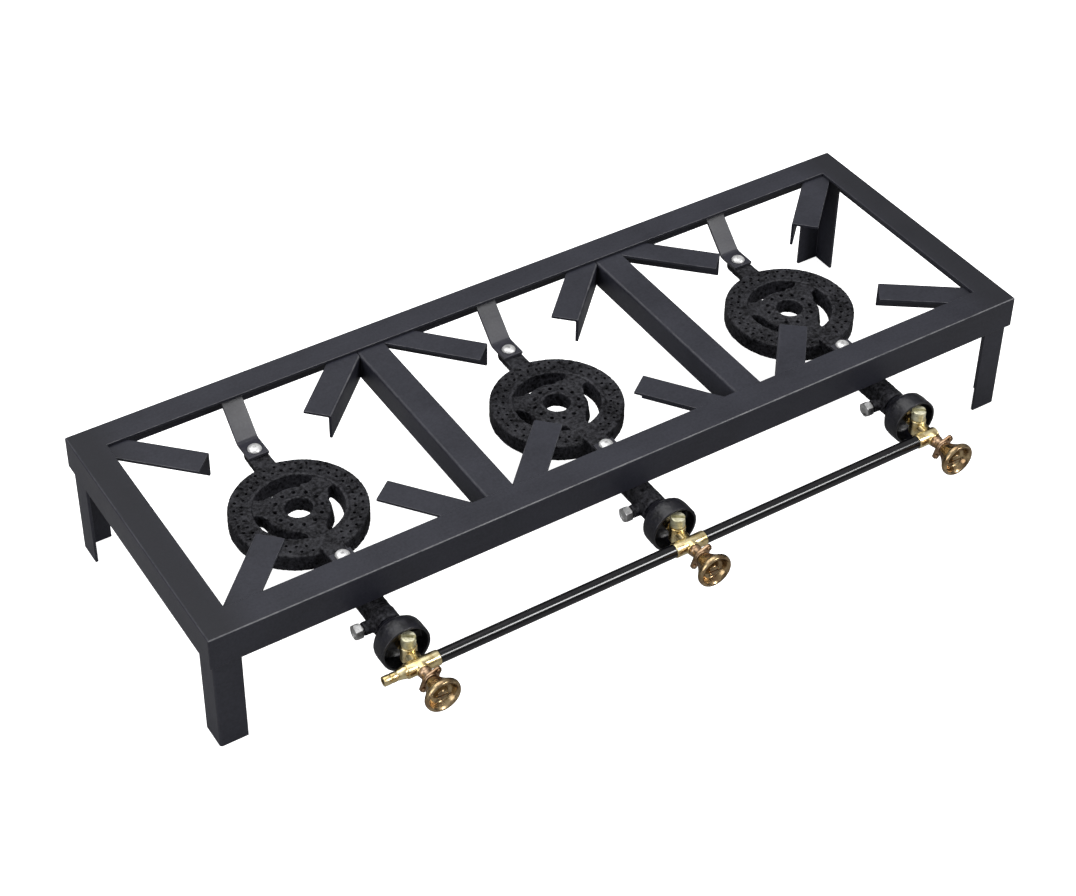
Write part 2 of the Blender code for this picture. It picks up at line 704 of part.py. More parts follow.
def plug_mesh():
    """Slotted cap screw standing on a tap's column."""
    chamfer = 0.0010
    profile = [
        (0, PLUG_HEIGHT),
        (PLUG_RADIUS - chamfer, PLUG_HEIGHT),
        (PLUG_RADIUS, PLUG_HEIGHT - chamfer),
        (PLUG_RADIUS, 0),
        (PLUG_SHANK, 0),
        (PLUG_SHANK, -PLUG_SHANK_LENGTH),
        (0, -PLUG_SHANK_LENGTH),
    ]
    plug = turned(profile, TUBE_SIDES)
    slot_half = 0.0016
    reach = PLUG_RADIUS + BURR
    slot = box((-reach, -slot_half, PLUG_HEIGHT - 0.0045), (reach, slot_half, PLUG_HEIGHT + BURR))
    slot.transform(Matrix.Rotation(math.radians(-35), 4, "Z"))
    return cut(plug, slot)


def jet_mesh():
    """Brass jet on local Z, pointing from the tap into the mixer; its origin in the tap."""
    start = 0.0005
    seat = COLUMN_RADIUS + FIT
    nose = COLUMN_Y - BRIDGE_Y + 0.008
    hex_end = COLUMN_Y - BRIDGE_Y - BRIDGE_THICK / 2 - FIT
    profile = [
        (JET_ORIFICE, nose),
        (JET_ORIFICE * 2.4, nose),
        (JET_RADIUS, nose - 0.004),
        (JET_RADIUS, start),
        (JET_ORIFICE, start),
    ]
    jet = turned(profile, HOLE_SIDES)
    collar = cylinder(JET_HEX_RADIUS, (0, 0, seat), (0, 0, hex_end), 6)
    collar_bore = JET_RADIUS / 2
    collar = cut(collar, cylinder(collar_bore, (0, 0, 0), (0, 0, nose), HOLE_SIDES))
    made = joined(jet, collar)
    made.transform(facing((0, 1, 0)))
    return made


def knob_mesh():
    """Dished handwheel with its cone skirt and stem; origin on the stem axis at the manifold."""
    back = KNOB_BACK - PIPE_Y
    front = KNOB_FRONT - PIPE_Y
    rim = KNOB_RADIUS
    profile = [
        (0, front - 0.002),
        (0.0040, front - 0.002),
        (0.0052, front - 0.0035),
        (0.0062, front - 0.0075),
        (rim - 0.0055, front - 0.0065),
        (rim - 0.0030, front - 0.0003),
        (rim - 0.0012, front),
        (rim, front - 0.0022),
        (rim - 0.0004, front - 0.0062),
        (rim - 0.0030, front - 0.0090),
        (0.0085, back + 0.0040),
        (0.0066, back),
        (STEM_RADIUS, back),
        (STEM_RADIUS, 0.004),
        (0, 0.004),
    ]
    knob = turned(profile, ROUND_SIDES)
    slot = box((-0.006, -0.0007, front - 0.0032), (0.006, 0.0007, front + 0.002))
    knob = cut(knob, slot)
    knob.transform(facing((0, -1, 0)))
    return knob


def make_taps(brass_finish, knob_finish, zinc):
    taps = {
        "left": tap_mesh(TEE_SHORT, TEE_LONG, False, True, True),
        "middle": tap_mesh(TEE_HALF, TEE_HALF, True, True, False),
        "right": tap_mesh(TEE_HALF, 0.0065, True, False, False),
    }
    plug = plug_mesh()
    jet = jet_mesh()
    knob = knob_mesh()
    for station, x in STATIONS.items():
        crossing = (x, FRAME_Y - PIPE_Y, FEED_Z)
        column = (x, FRAME_Y - COLUMN_Y, FEED_Z)
        column_top = (x, FRAME_Y - COLUMN_Y, FEED_Z + COLUMN_TOP + FIT)
        place(f"{station}_tap_body", taps[station], brass_finish, crossing, smooth=True)
        place(f"{station}_tap_plug", plug, zinc, column_top, smooth=True)
        place(f"{station}_jet", jet, brass_finish, column, smooth=True)
        place(f"{station}_knob", knob, knob_finish, crossing, smooth=True)


def make_manifold(finish):
    spans = {
        "left_manifold_pipe": (STATIONS["left"] + TEE_LONG + FIT, -TEE_HALF - FIT),
        "right_manifold_pipe": (TEE_HALF + FIT, STATIONS["right"] - TEE_HALF - FIT),
    }
    for name, (start, end) in spans.items():
        half = (end - start) / 2
        profile = [(PIPE_BORE, half), (PIPE_RADIUS, half), (PIPE_RADIUS, -half), (PIPE_BORE, -half)]
        pipe = turned(profile, TUBE_SIDES)
        pipe.transform(facing((1, 0, 0)))
        place(name, pipe, finish, ((start + end) / 2, FRAME_Y - PIPE_Y, FEED_Z), smooth=True)


def build():
    paint = frame_paint()
    zinc = zinc_plate()
    iron = cast_iron()
    make_rails(paint)
    make_cross_bars(paint)
    make_legs(paint)
    make_pot_supports(paint)
    make_burners(iron, strap_paint(), zinc)
    make_mixers(iron, zinc)
    make_taps(brass(), bronze(), zinc)
    make_manifold(gloss_black())


PARTS, CUTTERS = start_scene()
build()
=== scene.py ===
"""Looks of the ring-burner stand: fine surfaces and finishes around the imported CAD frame.

Metres, in the frame's own axes: X along the stand, the taps on the -Y side, feet on Z = 0.
"""

import json
import math

import bmesh
import bpy
from mathutils import Matrix, Vector, noise

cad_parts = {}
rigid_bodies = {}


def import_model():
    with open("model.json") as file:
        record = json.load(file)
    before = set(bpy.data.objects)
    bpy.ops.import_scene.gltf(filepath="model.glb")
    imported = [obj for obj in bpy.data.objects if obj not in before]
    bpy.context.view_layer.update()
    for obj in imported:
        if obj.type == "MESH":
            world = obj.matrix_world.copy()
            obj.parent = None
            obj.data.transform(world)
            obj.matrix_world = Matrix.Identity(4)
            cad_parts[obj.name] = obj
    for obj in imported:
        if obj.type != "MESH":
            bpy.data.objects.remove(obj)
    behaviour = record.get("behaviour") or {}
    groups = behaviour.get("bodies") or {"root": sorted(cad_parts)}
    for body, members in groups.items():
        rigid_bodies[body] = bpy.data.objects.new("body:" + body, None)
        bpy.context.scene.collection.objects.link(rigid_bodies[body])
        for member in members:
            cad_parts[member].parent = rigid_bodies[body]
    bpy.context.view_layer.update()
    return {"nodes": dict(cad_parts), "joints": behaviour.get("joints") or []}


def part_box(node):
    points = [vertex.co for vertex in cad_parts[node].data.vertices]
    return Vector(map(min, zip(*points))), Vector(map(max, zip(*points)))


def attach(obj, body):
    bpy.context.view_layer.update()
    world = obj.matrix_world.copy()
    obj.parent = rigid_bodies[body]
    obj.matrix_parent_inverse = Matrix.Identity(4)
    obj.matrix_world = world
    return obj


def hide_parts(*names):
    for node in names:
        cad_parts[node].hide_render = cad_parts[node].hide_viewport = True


for leftover in list(bpy.data.objects):
    bpy.data.objects.remove(leftover)

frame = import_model()

STATIONS = ("left", "middle", "right")
STAND = "stand"

# ---- sizes shared with the CAD part --------------------------------------------------------
FIT = 0.0003  # gap between touching pieces
STEEL = 0.003
BURNER_TOP = 0.092
BURNER_BOTTOM = 0.0735
HUB_TOP = 0.0904
RING_RADIUS = 0.066
RING_BORE = 0.044
HUB_RADIUS = 0.031
HUB_BORE = 0.0134
PORT_CIRCLE = 0.0225
SPOKE_WIDTH = 0.020
SPOKE_ANGLES = (-90, 30, 150)
REAR_REACH = 0.0895
FRONT_REACH = 0.086
REAR_LUG_TOP = 0.091
FRONT_LUG_TOP = 0.097
LUG_WIDTH = 0.020
LUG_THICK = 0.008
STRAP_WIDTH = 0.022
STRAP_FOOT_END = 0.080
STRAP_BEND = 0.104
FLANGE_UNDER = 0.1347
DUCT_RADIUS = 0.0085
DUCT_END = 0.117
SOCKET_END = 0.170
SOCKET_RADIUS = 0.0126
SPIGOT_RADIUS = 0.0094
SET_SCREW_Y = 0.1605
SET_HEAD_START = 0.0235
SET_HEAD_END = 0.0305
SET_HEAD_RADIUS = 0.0076
BELL_RADIUS = 0.0245
BELL_BACK = 0.1805
BELL_MOUTH = 0.2015
BRIDGE_Y = 0.188
JET_HOLE = 0.0045
PIPE_Y = 0.2235
PIPE_RADIUS = 0.0063
PIPE_BORE = 0.0048
TEE_RADIUS = 0.0072
TEE_HALF = 0.017
TEE_LONG = 0.019
TEE_SHORT = 0.014
NIPPLE_LENGTH = 0.008
NIPPLE_BORE = 0.0028
INLET_BORE = 0.0026
INLET_REACH = 0.0365
COLUMN_BACK = 0.019  # column's axis, behind the manifold's
COLUMN_RADIUS = 0.0078
COLUMN_HALF = 0.0085
NECK_RADIUS = 0.0058
NECK_REACH = 0.020  # front face of the bonnet, in front of the manifold's axis
PLUG_RADIUS = 0.0068
PLUG_HEIGHT = 0.0106
KNOB_RADIUS = 0.0175
KNOB_BACK = 0.0225
KNOB_FRONT = 0.0425
THROAT_RADIUS = 0.0066

# ---- sizes of the finer shapes -------------------------------------------------------------
ON_AXIS = 1e-6  # nearer the axis than this counts as on it
SCREW_HOLE = 0.0033
SCREW_SHANK = 0.0030
THREAD_ROOT = 0.0026
THREAD_PITCH = 0.0010
NUT_RADIUS = 0.0058
NUT_THICK = 0.005
BEAD_RADIUS = 0.0022
BEAD_PROUD = 0.0003  # a leg's weld beads stand this far outside its walls
SPOKE_FLARE = 0.0032  # how much wider a spoke is, each side, where it meets ring and hub
RING_PORTS = 36  # in each of the ring's two rows
RING_PORT_ROWS = (0.0530, 0.0600)
RING_PORT_RADIUS = 0.0016
HUB_PORTS = 12
HUB_PORT_RADIUS = 0.0022
STEM_RADIUS = 0.0034
STEM_HOLE = 0.0037
BONNET_EAR = 0.0108
BONNET_THICK = 0.0028
BELL_WALL = 0.0030
SPIGOT_LENGTH = 0.028
BRIDGE_HALF_WIDTH = 0.0042
BRIDGE_HALF_THICK = 0.0020
BRIDGE_EYE = 0.0092
SIDE_DARK_FROM = 0.396  # from the middle: the front and rear rails' tops darken towards the side rails
SIDE_DARK_TO = 0.430

taps = {j["name"].split("_")[0]: Vector(j["pos_m"]) for j in frame["joints"]}
burners = {name: Vector((tap.x, tap.y + PIPE_Y, 0)) for name, tap in taps.items()}
FEED_Z = taps["middle"].z


# ---- mesh helpers --------------------------------------------------------------------------
def fillet(points, radius, steps=4):
    """Rounds every corner of an open, flat polyline with an arc-like curve."""
    path = [Vector(p) for p in points]
    result = [path[0]]
    for previous, corner, following in zip(path, path[1:], path[2:]):
        before = previous - corner
        after = following - corner
        reach = min(radius, 0.45 * before.length, 0.45 * after.length)
        start = corner + before.normalized() * reach
        end = corner + after.normalized() * reach
        for k in range(steps + 1):
            t = k / steps
            result.append(start * (1 - t) ** 2 + corner * 2 * t * (1 - t) + end * t * t)
    result.append(path[-1])
    return [tuple(p) for p in result]


def mesh_from(shape, name):
    """A finished mesh with its faces turned outwards."""
    bmesh.ops.recalc_face_normals(shape, faces=shape.faces)
    mesh = bpy.data.meshes.new(name)
    shape.to_mesh(mesh)
    shape.free()
    return mesh


def turned(profile, sides):
    """Solid of revolution about Z; a profile that leaves the axis at both ends is closed."""
    shape = bmesh.new()
    rings = []
    for radius, height in profile:
        if radius < ON_AXIS:
            rings.append([shape.verts.new((0, 0, height))])
            continue
        turns = [math.tau * i / sides for i in range(sides)]
        ring = [shape.verts.new((radius * math.cos(t), radius * math.sin(t), height)) for t in turns]
        rings.append(ring)
    pairs = list(zip(rings, rings[1:]))
    if len(rings[0]) > 1 and len(rings[-1]) > 1:
        pairs.append((rings[-1], rings[0]))
    for low, high in pairs:
        for i in range(sides):
            j = (i + 1) % sides
            corners = [low[i % len(low)], low[j % len(low)], high[j % len(high)], high[i % len(high)]]
            unique = list(dict.fromkeys(corners))
            if len(unique) > 2:
                shape.faces.new(unique)
    return mesh_from(shape, "turned")


def slab(outline, low, high, name="slab"):
    """A flat outline in XY between two heights."""
    shape = bmesh.new()
    bottom = [shape.verts.new((x, y, low)) for x, y in outline]
    top = [shape.verts.new((x, y, high)) for x, y in outline]
    shape.faces.new(bottom)
    shape.faces.new(top)
    for i in range(len(outline)):
        j = (i + 1) % len(outline)
        shape.faces.new((bottom[i], bottom[j], top[j], top[i]))
    return mesh_from(shape, name)


def block(low, high):
    """A box between two corners."""
    outline = [(low[0], low[1]), (high[0], low[1]), (high[0], high[1]), (low[0], high[1])]
    return slab(outline, low[2], high[2])


def aimed(start, axis):
    """Moves a shape drawn up the Z axis to a start point and turns it along another axis."""
    return Matrix.Translation(start) @ axis.to_track_quat("Z", "Y").to_matrix().to_4x4()


def rod(radius, start, end, sides=32):
    """A cylinder between two points."""
    start = Vector(start)
    axis = Vector(end) - start
    mesh = turned([(0, 0), (radius, 0), (radius, axis.length), (0, axis.length)], sides)
    mesh.transform(aimed(start, axis))
    return mesh


def arc(centre, radius, start, end, steps):
    """Points on a circle, from one angle in degrees to another."""
    turns = [math.radians(start + (end - start) * i / steps) for i in range(steps + 1)]
    return [(centre[0] + radius * math.cos(t), centre[1] + radius * math.sin(t)) for t in turns]


def together(meshes):
    """Several meshes as one, still separate shells."""
    shape = bmesh.new()
    for mesh in meshes:
        shape.from_mesh(mesh)
    joined = bpy.data.meshes.new("together")
    shape.to_mesh(joined)
    shape.free()
    return joined


def evaluated(mesh, settings):
    """The mesh after a list of (modifier type, {setting: value})."""
    worker = bpy.data.objects.new("worker", mesh)
    bpy.context.scene.collection.objects.link(worker)
    helpers = []
    for kind, values in settings:
        modifier = worker.modifiers.new(kind, kind)
        for key, value in values.items():
            if isinstance(value, bpy.types.Mesh):
                helper = bpy.data.objects.new("helper", value)
                bpy.context.scene.collection.objects.link(helper)
                helpers.append(helper)
                value = helper
            setattr(modifier, key, value)
    bpy.context.view_layer.update()
    graph = bpy.context.evaluated_depsgraph_get()
    result = bpy.data.meshes.new_from_object(worker.evaluated_get(graph))
    for helper in [worker, *helpers]:
        bpy.data.objects.remove(helper)
    return result


def combined(mesh, other, operation):
    """The result of an exact boolean between two solids."""
    return evaluated(mesh, [("BOOLEAN", {"operation": operation, "solver": "EXACT", "object": other})])


def cut(mesh, *cutters):
    """The mesh with every cutter's shape taken out; cutters don't touch one another."""
    return combined(mesh, together(cutters), "DIFFERENCE")


def unite(mesh, *others):
    """Overlapping solids as one."""
    for other in others:
        mesh = combined(mesh, other, "UNION")
    return mesh


def round_edges(shape, width, angle):
    """Rounds every edge that turns by more than an angle in degrees."""
    limit = math.radians(angle)
    sharp = [e for e in shape.edges if len(e.link_faces) == 2 and e.calc_face_angle() > limit]
    bmesh.ops.bevel(
        shape, geom=sharp, offset=width, segments=2, profile=0.5, affect="EDGES", clamp_overlap=True
    )


def softened(mesh, width, angle):
    """The mesh with its sharp edges rounded."""
    shape = bmesh.new()
    shape.from_mesh(mesh)
    bmesh.ops.remove_doubles(shape, verts=shape.verts, dist=2e-6)
    round_edges(shape, width, angle)
    return mesh_from(shape, mesh.name)


def fused(meshes, voxel, rough, grain):
    """Shells melted into one casting's skin: soft inner corners and a lumpy surface."""
    steps = [("REMESH", {"mode": "VOXEL", "voxel_size": voxel, "adaptivity": 0.0})]
    steps.append(("SMOOTH", {"factor": 0.5, "iterations": 3}))
    mesh = evaluated(together(meshes), steps)
    moves = []
    for vertex in mesh.vertices:
        lumps = noise.noise(vertex.co * grain) + 0.6 * noise.noise(vertex.co * grain * 2.7)
        moves.append(vertex.normal * lumps * rough)
    for vertex, move in zip(mesh.vertices, moves):
        vertex.co += move
    return mesh


def cad_shape(node, edge):
    """A CAD node's own shape with clean flats and its sharp edges rounded off."""
    shape = bmesh.new()
    shape.from_mesh(frame["nodes"][node].data)
    bmesh.ops.remove_doubles(shape, verts=shape.verts, dist=2e-5)
    bmesh.ops.dissolve_limit(shape, angle_limit=math.radians(1), verts=shape.verts, edges=shape.edges)
    round_edges(shape, edge, 40)
    return mesh_from(shape, node + "_skin")


def piece(name, mesh, finish, nodes=(), body=STAND, at=None, weighted=False, sharp=40):
    """Links one finished piece, which rides on a body and stands for its CAD nodes."""
    if at is not None:
        mesh = mesh.copy()
        mesh.transform(Matrix.Translation(at))
    mesh.name = name
    mesh.materials.clear()
    mesh.materials.append(finish)
    mesh.shade_smooth()
    if sharp:
        mesh.set_sharp_from_angle(angle=math.radians(sharp))
    obj = bpy.data.objects.new(name, mesh)
    bpy.context.scene.collection.objects.link(obj)
    if weighted:
        normals = obj.modifiers.new("even_normals", "WEIGHTED_NORMAL")
        normals.keep_sharp = True
    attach(obj, body)
    if nodes:
        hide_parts(*nodes)
    return obj


# ---- materials -----------------------------------------------------------------------------
class Finish:
    """A Principled material under construction; its methods return sockets."""

    def __init__(self, name):
        self.material = bpy.data.materials.new(name)
        self.material.use_nodes = True
        self.tree = self.material.node_tree
        self.shader = self.tree.nodes["Principled BSDF"]
        self.place = self.add("ShaderNodeTexCoord").outputs["Object"]

    def add(self, kind, values=None, **settings):
        """A new node with its input values or links, and its settings."""
        made = self.tree.nodes.new(kind)
        for key, value in settings.items():
            setattr(made, key, value)
        for key, value in (values or {}).items():
            self.feed(made.inputs[key], value)
        return made

    def feed(self, socket, value):
        """Links another socket into this one, or sets a plain value."""
        if isinstance(value, bpy.types.NodeSocket):
            self.tree.links.new(value, socket)
        else:
            socket.default_value = value

    def noise(self, scale, detail=4.0, roughness=0.55, place=None):
        values = {"Vector": place or self.place, "Scale": scale, "Detail": detail, "Roughness": roughness}
        return self.add("ShaderNodeTexNoise", values).outputs["Fac"]

    def stretched(self, scale):
        """Coordinates scaled unevenly, for streaks."""
        return self.add("ShaderNodeMapping", {"Vector": self.place, "Scale": scale}).outputs["Vector"]

    def span(self, value, low, high, to_low=0.0, to_high=1.0):
        """A value's range mapped to another one, and held at its ends."""
        values = {"Value": value, 1: low, 2: high, 3: to_low, 4: to_high}
        return self.add("ShaderNodeMapRange", values).outputs["Result"]

    def math(self, operation, a, b):
        return self.add("ShaderNodeMath", {0: a, 1: b}, operation=operation).outputs["Value"]

    def mix(self, factor, a, b):
        made = self.add("ShaderNodeMix", data_type="RGBA")
        self.feed(made.inputs["Factor"], factor)
        for socket, colour in ((made.inputs[6], a), (made.inputs[7], b)):
            self.feed(socket, colour if isinstance(colour, bpy.types.NodeSocket) else (*colour, 1))
        return made.outputs[2]

    def edges(self, radius, low, high):
        """1 on convex and concave edges, from how far a bevelled normal leans away."""
        bevel = self.add("ShaderNodeBevel", {"Radius": radius}, samples=6).outputs["Normal"]
        normal = self.add("ShaderNodeNewGeometry").outputs["Normal"]
        values = {0: bevel, 1: normal}
        lean = self.add("ShaderNodeVectorMath", values, operation="DOT_PRODUCT").outputs["Value"]
        return self.span(lean, high, low)

    def along(self, axis):
        """One of the piece's own coordinates."""
        return self.add("ShaderNodeSeparateXYZ", {"Vector": self.place}).outputs[axis]

    def facing(self, direction, axis):
        """One component of the surface's own normal."""
        made = self.add("ShaderNodeNewGeometry").outputs[direction]
        return self.add("ShaderNodeSeparateXYZ", {"Vector": made}).outputs[axis]

    def peaks(self, low, high):
        """1 where a dense mesh is convex."""
        point = self.add("ShaderNodeNewGeometry").outputs["Pointiness"]
        return self.span(point, low, high)

    def bump(self, height, distance, strength, under=None):
        values = {"Height": height, "Distance": distance, "Strength": strength}
        if under is not None:
            values["Normal"] = under
        return self.add("ShaderNodeBump", values).outputs["Normal"]

    def done(self, **inputs):
        """The finished material, with its shader's inputs filled in."""
        for name, value in inputs.items():
            self.feed(self.shader.inputs[name.replace("_", " ")], value)
        return self.material


def steel_paint(name, dark, light, worn_and_highlight_colour, gloss, frame_highlight_and_dark_sides=False):
    """Charcoal paint over rolled steel: faint clouding, fine grain and rubbed edges.

    For the top frame, the front fold also gets a painted highlight in the pale worn-edge colour, and the side
    rails are darker on top.
    """
    f = Finish(name)
    clouds = f.noise(14.0, 5.0, 0.6)
    speckle = f.noise(420.0, 3.0, 0.6)
    streaks = f.noise(1.0, 4.0, 0.6, f.stretched((30.0, 160.0, 160.0)))
    tone = f.math("ADD", f.math("MULTIPLY", clouds, 0.5), f.math("MULTIPLY", speckle, 0.5))
    colour = f.mix(f.span(tone, 0.36, 0.64), dark, light)
    colour = f.mix(f.span(streaks, 0.45, 0.75, 0.0, 0.35), colour, light)
    edge = f.edges(0.0014, 0.80, 0.97)
    if frame_highlight_and_dark_sides:
        up = f.facing("Normal", "Z")
        # Painted highlight: rounds facing up and forward, chiefly the top frame's front fold, are mixed
        # toward the pale worn-edge colour as if they caught the light.
        fold = f.math("MULTIPLY", f.span(up, 0.42, 0.60), f.span(up, 0.97, 0.88))
        fold = f.math("MULTIPLY", fold, f.span(f.facing("Normal", "Y"), -0.15, -0.45, 0.22, 0.85))
        edge = f.math("MAXIMUM", f.math("MULTIPLY", edge, 0.35), fold)
        # The tops of the side rails, and of the front and rear rails near their ends, are made darker.
        ends = f.span(f.math("ABSOLUTE", f.along("X"), 0.0), SIDE_DARK_FROM, SIDE_DARK_TO, 0.0, 0.70)
        colour = f.mix(f.math("MULTIPLY", ends, f.span(up, 0.9, 0.99)), colour, tuple(0.45 * c for c in dark))
    # Rubbed edges are real wear; on the top frame this mask also carries the front fold's painted highlight.
    rub_and_fold_highlight = f.math("MULTIPLY", edge, f.span(f.noise(90.0, 4.0), 0.38, 0.62, 0.35, 1.0))
    colour = f.mix(f.math("MULTIPLY", rub_and_fold_highlight, 0.8), colour, worn_and_highlight_colour)
    grain = f.bump(f.noise(900.0, 3.0, 0.6), 0.00006, 0.5)
    normal = f.bump(f.noise(60.0, 3.0, 0.5), 0.0004, 0.22, grain)
    roughness = f.span(clouds, 0.3, 0.7, gloss - 0.05, gloss + 0.09)
    roughness = f.math("SUBTRACT", roughness, f.math("MULTIPLY", edge, 0.12))
    done = f.done(Base_Color=colour, Roughness=roughness, Normal=normal)
    f.shader.inputs["Specular IOR Level"].default_value = 0.36
    return done


def cast_iron_finish(name, dark, light, ridge):
    """Sand-cast iron under thin black paint, mottled and pitted."""
    f = Finish(name)
    mottle = f.noise(300.0, 6.0, 0.65)
    patches = f.noise(38.0, 4.0, 0.6)
    pits = f.noise(620.0, 4.0, 0.7)
    tone = f.math("ADD", f.math("MULTIPLY", mottle, 0.7), f.math("MULTIPLY", patches, 0.3))
    colour = f.mix(f.span(tone, 0.39, 0.63), dark, light)
    high = f.math("MULTIPLY", f.peaks(0.505, 0.56), f.span(mottle, 0.35, 0.6))
    colour = f.mix(f.math("MULTIPLY", high, 0.6), colour, ridge)
    sand = f.bump(pits, 0.00035, 0.55)
    normal = f.bump(mottle, 0.0012, 0.8, sand)
    roughness = f.span(mottle, 0.3, 0.7, 0.50, 0.74)
    # Painted shade: side walls get about half the sheen of the tops, so they read darker.
    painted_wall_shade = f.span(f.facing("True Normal", "Z"), 0.1, 0.8, 0.45, 1.0)
    sheen = f.math("MULTIPLY", painted_wall_shade, f.span(tone, 0.41, 0.61, 0.10, 0.48))
    return f.done(Base_Color=colour, Roughness=roughness, Normal=normal, Specular_IOR_Level=sheen)


def metal(name, low, high, stain, rough, grain=0.00004, stained=0.5, metallic=1.0):
    """Bare or plated metal with handling stains and fine tool grain."""
    f = Finish(name)
    drift = f.noise(110.0, 2.0, 0.5)
    colour = f.mix(f.span(drift, 0.35, 0.65), low, high)
    tarnish = f.span(f.noise(330.0, 5.0, 0.65), 0.50, 0.72, 0.0, stained)
    colour = f.mix(tarnish, colour, stain)
    normal = f.bump(f.noise(600.0, 4.0, 0.6), grain, 0.6)
    roughness = f.span(drift, 0.3, 0.7, rough - 0.05, rough + 0.10)
    return f.done(Base_Color=colour, Roughness=roughness, Normal=normal, Metallic=metallic)


def enamelled_iron(name):
    """Casting under satin black enamel: soft lumps, a cold sheen and bare dull spots."""
    f = Finish(name)
    lumps = f.noise(150.0, 4.0, 0.55)
    spots = f.noise(520.0, 5.0, 0.7)
    colour = f.mix(f.span(lumps, 0.35, 0.65), (0.002, 0.002, 0.004), (0.008, 0.008, 0.013))
    colour = f.mix(f.span(spots, 0.55, 0.75, 0.0, 0.6), colour, (0.030, 0.028, 0.030))
    normal = f.bump(lumps, 0.0007, 0.5, f.bump(spots, 0.00018, 0.5))
    return f.done(Base_Color=colour, Roughness=f.span(spots, 0.35, 0.75, 0.30, 0.52), Normal=normal)


def gloss_enamel(name):
    """Gloss black pipe enamel with slight orange peel and dust."""
    f = Finish(name)
    dust = f.noise(120.0, 3.0, 0.6)
    colour = f.mix(f.span(dust, 0.45, 0.8, 0.0, 0.5), (0.002, 0.002, 0.003), (0.012, 0.012, 0.014))
    normal = f.bump(f.noise(90.0, 1.0, 0.4), 0.00004, 0.30)
    return f.done(Base_Color=colour, Roughness=f.span(dust, 0.3, 0.8, 0.13, 0.20), Normal=normal)


def weld_finish():
    """Weld metal painted over, darker and glossier than the bars."""
    f = Finish("painted_weld")
    colour = f.mix(f.noise(180.0, 4.0), (0.016, 0.016, 0.018), (0.045, 0.044, 0.046))
    return f.done(Base_Color=colour, Roughness=0.42, Normal=f.bump(f.noise(500.0), 0.0002, 0.5))


# frame_paint's pale worn-edge colour is real edge wear and also the painted highlight on the front fold.
PAINT = steel_paint(
    "frame_paint", (0.0125, 0.013, 0.020), (0.027, 0.028, 0.039), (0.19, 0.19, 0.20), 0.44, frame_highlight_and_dark_sides=True
)
# Painted light: the strap paint is the frame's paint made about twice as light, standing in for the light
# that the sloping straps catch.
STRAP_PAINT_LIT = steel_paint(
    "strap_paint", (0.025, 0.025, 0.034), (0.044, 0.044, 0.056), (0.17, 0.17, 0.18), 0.38
)
IRON = cast_iron_finish(
    "cast_iron", (0.0010, 0.0010, 0.0013), (0.027, 0.027, 0.034), (0.060, 0.060, 0.068)
)
ZINC = metal(
    "zinc_plate", (0.74, 0.74, 0.74), (0.94, 0.94, 0.94), (0.50, 0.49, 0.47), 0.36, 0.00002, metallic=0.55
)
HEX_ZINC = metal(
    "hex_zinc", (0.42, 0.42, 0.42), (0.80, 0.80, 0.80), (0.16, 0.16, 0.15), 0.30, grain=0.00003, stained=0.6
)
YELLOW_ZINC = metal(
    "yellow_zinc", (0.58, 0.55, 0.36), (0.84, 0.82, 0.62), (0.16, 0.14, 0.07), 0.40, 0.00003, 0.8, 0.7
)
BRASS = metal(
    "brass", (0.64, 0.47, 0.20), (0.90, 0.79, 0.48), (0.50, 0.31, 0.12), 0.25, grain=0.000006, stained=0.3
)
DARK_BRASS = metal(
    "bonnet_brass", (0.26, 0.16, 0.09), (0.50, 0.35, 0.23), (0.12, 0.07, 0.04), 0.30, 0.00002, 0.6
)
BRONZE = metal(
    "knob_bronze", (0.26, 0.17, 0.09), (0.54, 0.41, 0.23), (0.13, 0.07, 0.045), 0.22, 0.00002, 0.75
)
ENAMEL_IRON = enamelled_iron("mixer_enamel")
ENAMEL = gloss_enamel("pipe_gloss_black")
WELD = weld_finish()


# ---- frame bars ----------------------------------------------------------------------------
def dress_bars():
    """Rails, cross bars, legs and pot supports: rolled angle with softened edges."""
    bars = [node for node in frame["nodes"] if node.endswith(("_bar", "_leg"))]
    bars += [node for node in frame["nodes"] if node.startswith("pot_support_")]
    for node in sorted(bars):
        skin = cad_shape(node, 0.0005)
        piece(node + "_steel", skin, PAINT, [node], weighted=True, sharp=50)


def make_top_frame():
    """The four rails as one welded frame, their mitres ground flush."""
    low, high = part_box("front_rail")
    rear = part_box("rear_rail")[1].y
    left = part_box("left_rail")[0].x
    half_x = -left
    half_y = (rear - low.y) / 2
    middle_y = (rear + low.y) / 2
    drop = high.z - low.z
    flange = high.y - low.y
    fold = 0.0021
    toe = 0.0006
    root = 0.0015
    section = arc((fold, -fold), fold, 180, 90, 6)
    section += arc((flange - toe, -toe), toe, 90, 0, 2) + arc((flange - toe, -STEEL + toe), toe, 0, -90, 2)
    section += arc((STEEL + root, -STEEL - root), root, 90, 180, 4)
    section += arc((STEEL - toe, -drop + toe), toe, 0, -90, 2) + arc((toe, -drop + toe), toe, 270, 180, 2)
    shape = bmesh.new()
    corner_radius = 0.0016
    loops = []
    for inset, height in section:
        path = []
        for turn, side_x, side_y in ((180, -1, -1), (270, 1, -1), (0, 1, 1), (90, -1, 1)):
            radius = corner_radius - inset if inset < corner_radius else 0.0002
            centre = (side_x * (half_x - inset - radius), side_y * (half_y - inset - radius))
            path += arc(centre, radius, turn, turn + 90, 3)
        loops.append([shape.verts.new((x, y + middle_y, high.z + height)) for x, y in path])
    for inner, outer in zip(loops, loops[1:] + loops[:1]):
        for i in range(len(inner)):
            j = (i + 1) % len(inner)
            shape.faces.new((inner[i], inner[j], outer[j], outer[i]))
    rails = ["front_rail", "rear_rail", "left_rail", "right_rail"]
    skin = mesh_from(shape, "top_frame")
    piece("top_frame_steel", skin, PAINT, rails, weighted=True, sharp=50)


